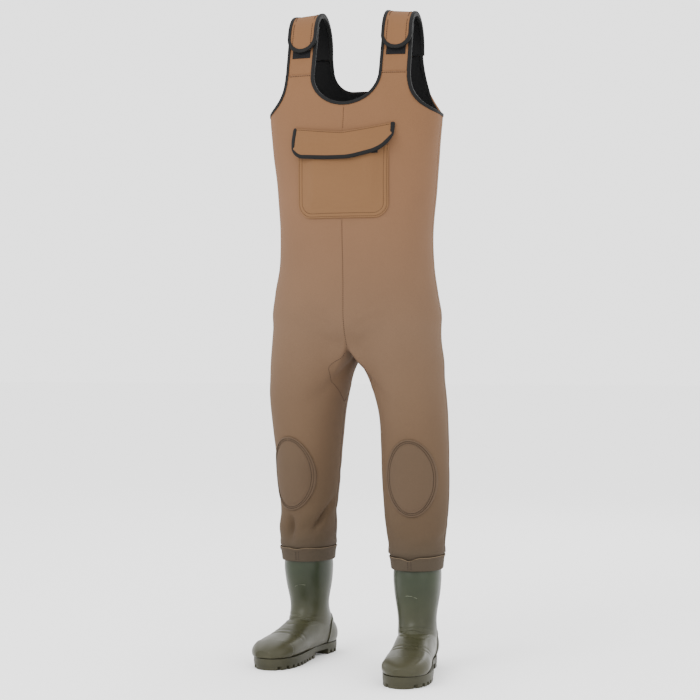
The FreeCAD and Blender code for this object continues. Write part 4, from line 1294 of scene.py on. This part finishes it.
def garment():
    verts, faces = build_garment()
    verts, faces = cut_openings(verts, faces)
    obj = new_object("garment", verts, faces, NEOPRENE)
    obj.data.materials.append(LINED)
    crotch_relax(obj)
    displace(obj, garment_ripple)
    displace(obj, seam_valley)
    TREES["garment"] = tree_of(obj)
    thicken(obj, SHEET, 1)
    split_panels(obj)
    seam_stitches()


# ---------------------------------------------------------------- camera, light and floor
def aim(obj, target):
    obj.rotation_euler = (Vector(target) - obj.location).to_track_quat("-Z", "Y").to_euler()


PHOTO_PIXELS, FOCAL_PIXELS = 700.0, 1677.0
AZIMUTH = math.radians(15.0)
DISTANCE, EYE_Z, SIDEWAYS = 3.795, 0.702, -0.015
# Name, place, width in metres and power of each lamp.
LAMPS = (("key", (-1.4, -2.6, 2.6), 1.8, 70), ("fill", (2.6, -2.4, 1.4), 2.2, 16),
         ("back", (0.4, 3.0, 2.6), 2.0, 30))


def stage():
    right = Vector((math.cos(AZIMUTH), math.sin(AZIMUTH), 0))
    towards_camera = Vector((math.sin(AZIMUTH), -math.cos(AZIMUTH), 0))
    cam = bpy.data.cameras.new("camera")
    cam.sensor_width = 36.0
    cam.lens = FOCAL_PIXELS / PHOTO_PIXELS * cam.sensor_width
    obj = bpy.data.objects.new("camera", cam)
    bpy.context.collection.objects.link(obj)
    obj.location = Vector((AXIS_X, AXIS_Y, EYE_Z)) + towards_camera * DISTANCE + right * SIDEWAYS
    obj.rotation_euler = (math.pi / 2, 0, AZIMUTH)
    bpy.context.scene.camera = obj
    floor = new_object("floor", [(-30, -30, 0), (30, -30, 0), (30, 30, 0), (-30, 30, 0)], [(0, 1, 2, 3)])
    floor.location.z = -0.0005
    mat = bpy.data.materials.new("floor")
    mat.use_nodes = True
    bsdf = mat.node_tree.nodes["Principled BSDF"]
    bsdf.inputs["Base Color"].default_value = (0.96, 0.96, 0.96, 1)
    bsdf.inputs["Roughness"].default_value = 0.9
    floor.data.materials.append(mat)
    world = bpy.data.worlds.new("world")
    bpy.context.scene.world = world
    world.use_nodes = True
    background = world.node_tree.nodes["Background"]
    background.inputs["Color"].default_value = (1, 1, 1, 1)
    background.inputs["Strength"].default_value = 2.4
    for name, where, size, energy in LAMPS:
        light = bpy.data.lights.new(name, "AREA")
        light.size = size
        light.energy = energy
        lamp = bpy.data.objects.new(name, light)
        bpy.context.collection.objects.link(lamp)
        lamp.location = where
        aim(lamp, (0, 0, 0.9))


SLOT_LOOKS = {"neoprene": NEOPRENE, "seam_tape": LINED, "binding": BINDING, "hook_and_loop": HOOKS,
              "knee_patch": PATCH, "boot_rubber": BOOT, "sole_rubber": SOLE, "boot_lining": FELT, "insole": FELT}


def dress_frame():
    """The frame's pieces get their slots' materials, and the soles get soft corners."""
    for part in frame["record"]["subparts"]:
        obj = frame["nodes"][part["node"]]
        for material_slot in obj.material_slots:
            material_slot.material = SLOT_LOOKS[part["material_slot"]]
        if part["material_slot"] == "sole_rubber":
            bevel = obj.modifiers.new("corners", "BEVEL")
            bevel.width = 0.0007
            bevel.segments = 2
            bevel.limit_method = "ANGLE"


dress_frame()
garment()
straps()
body_rims()
pocket()
flap()
knee_pads()
cuffs()
boots()
stage()
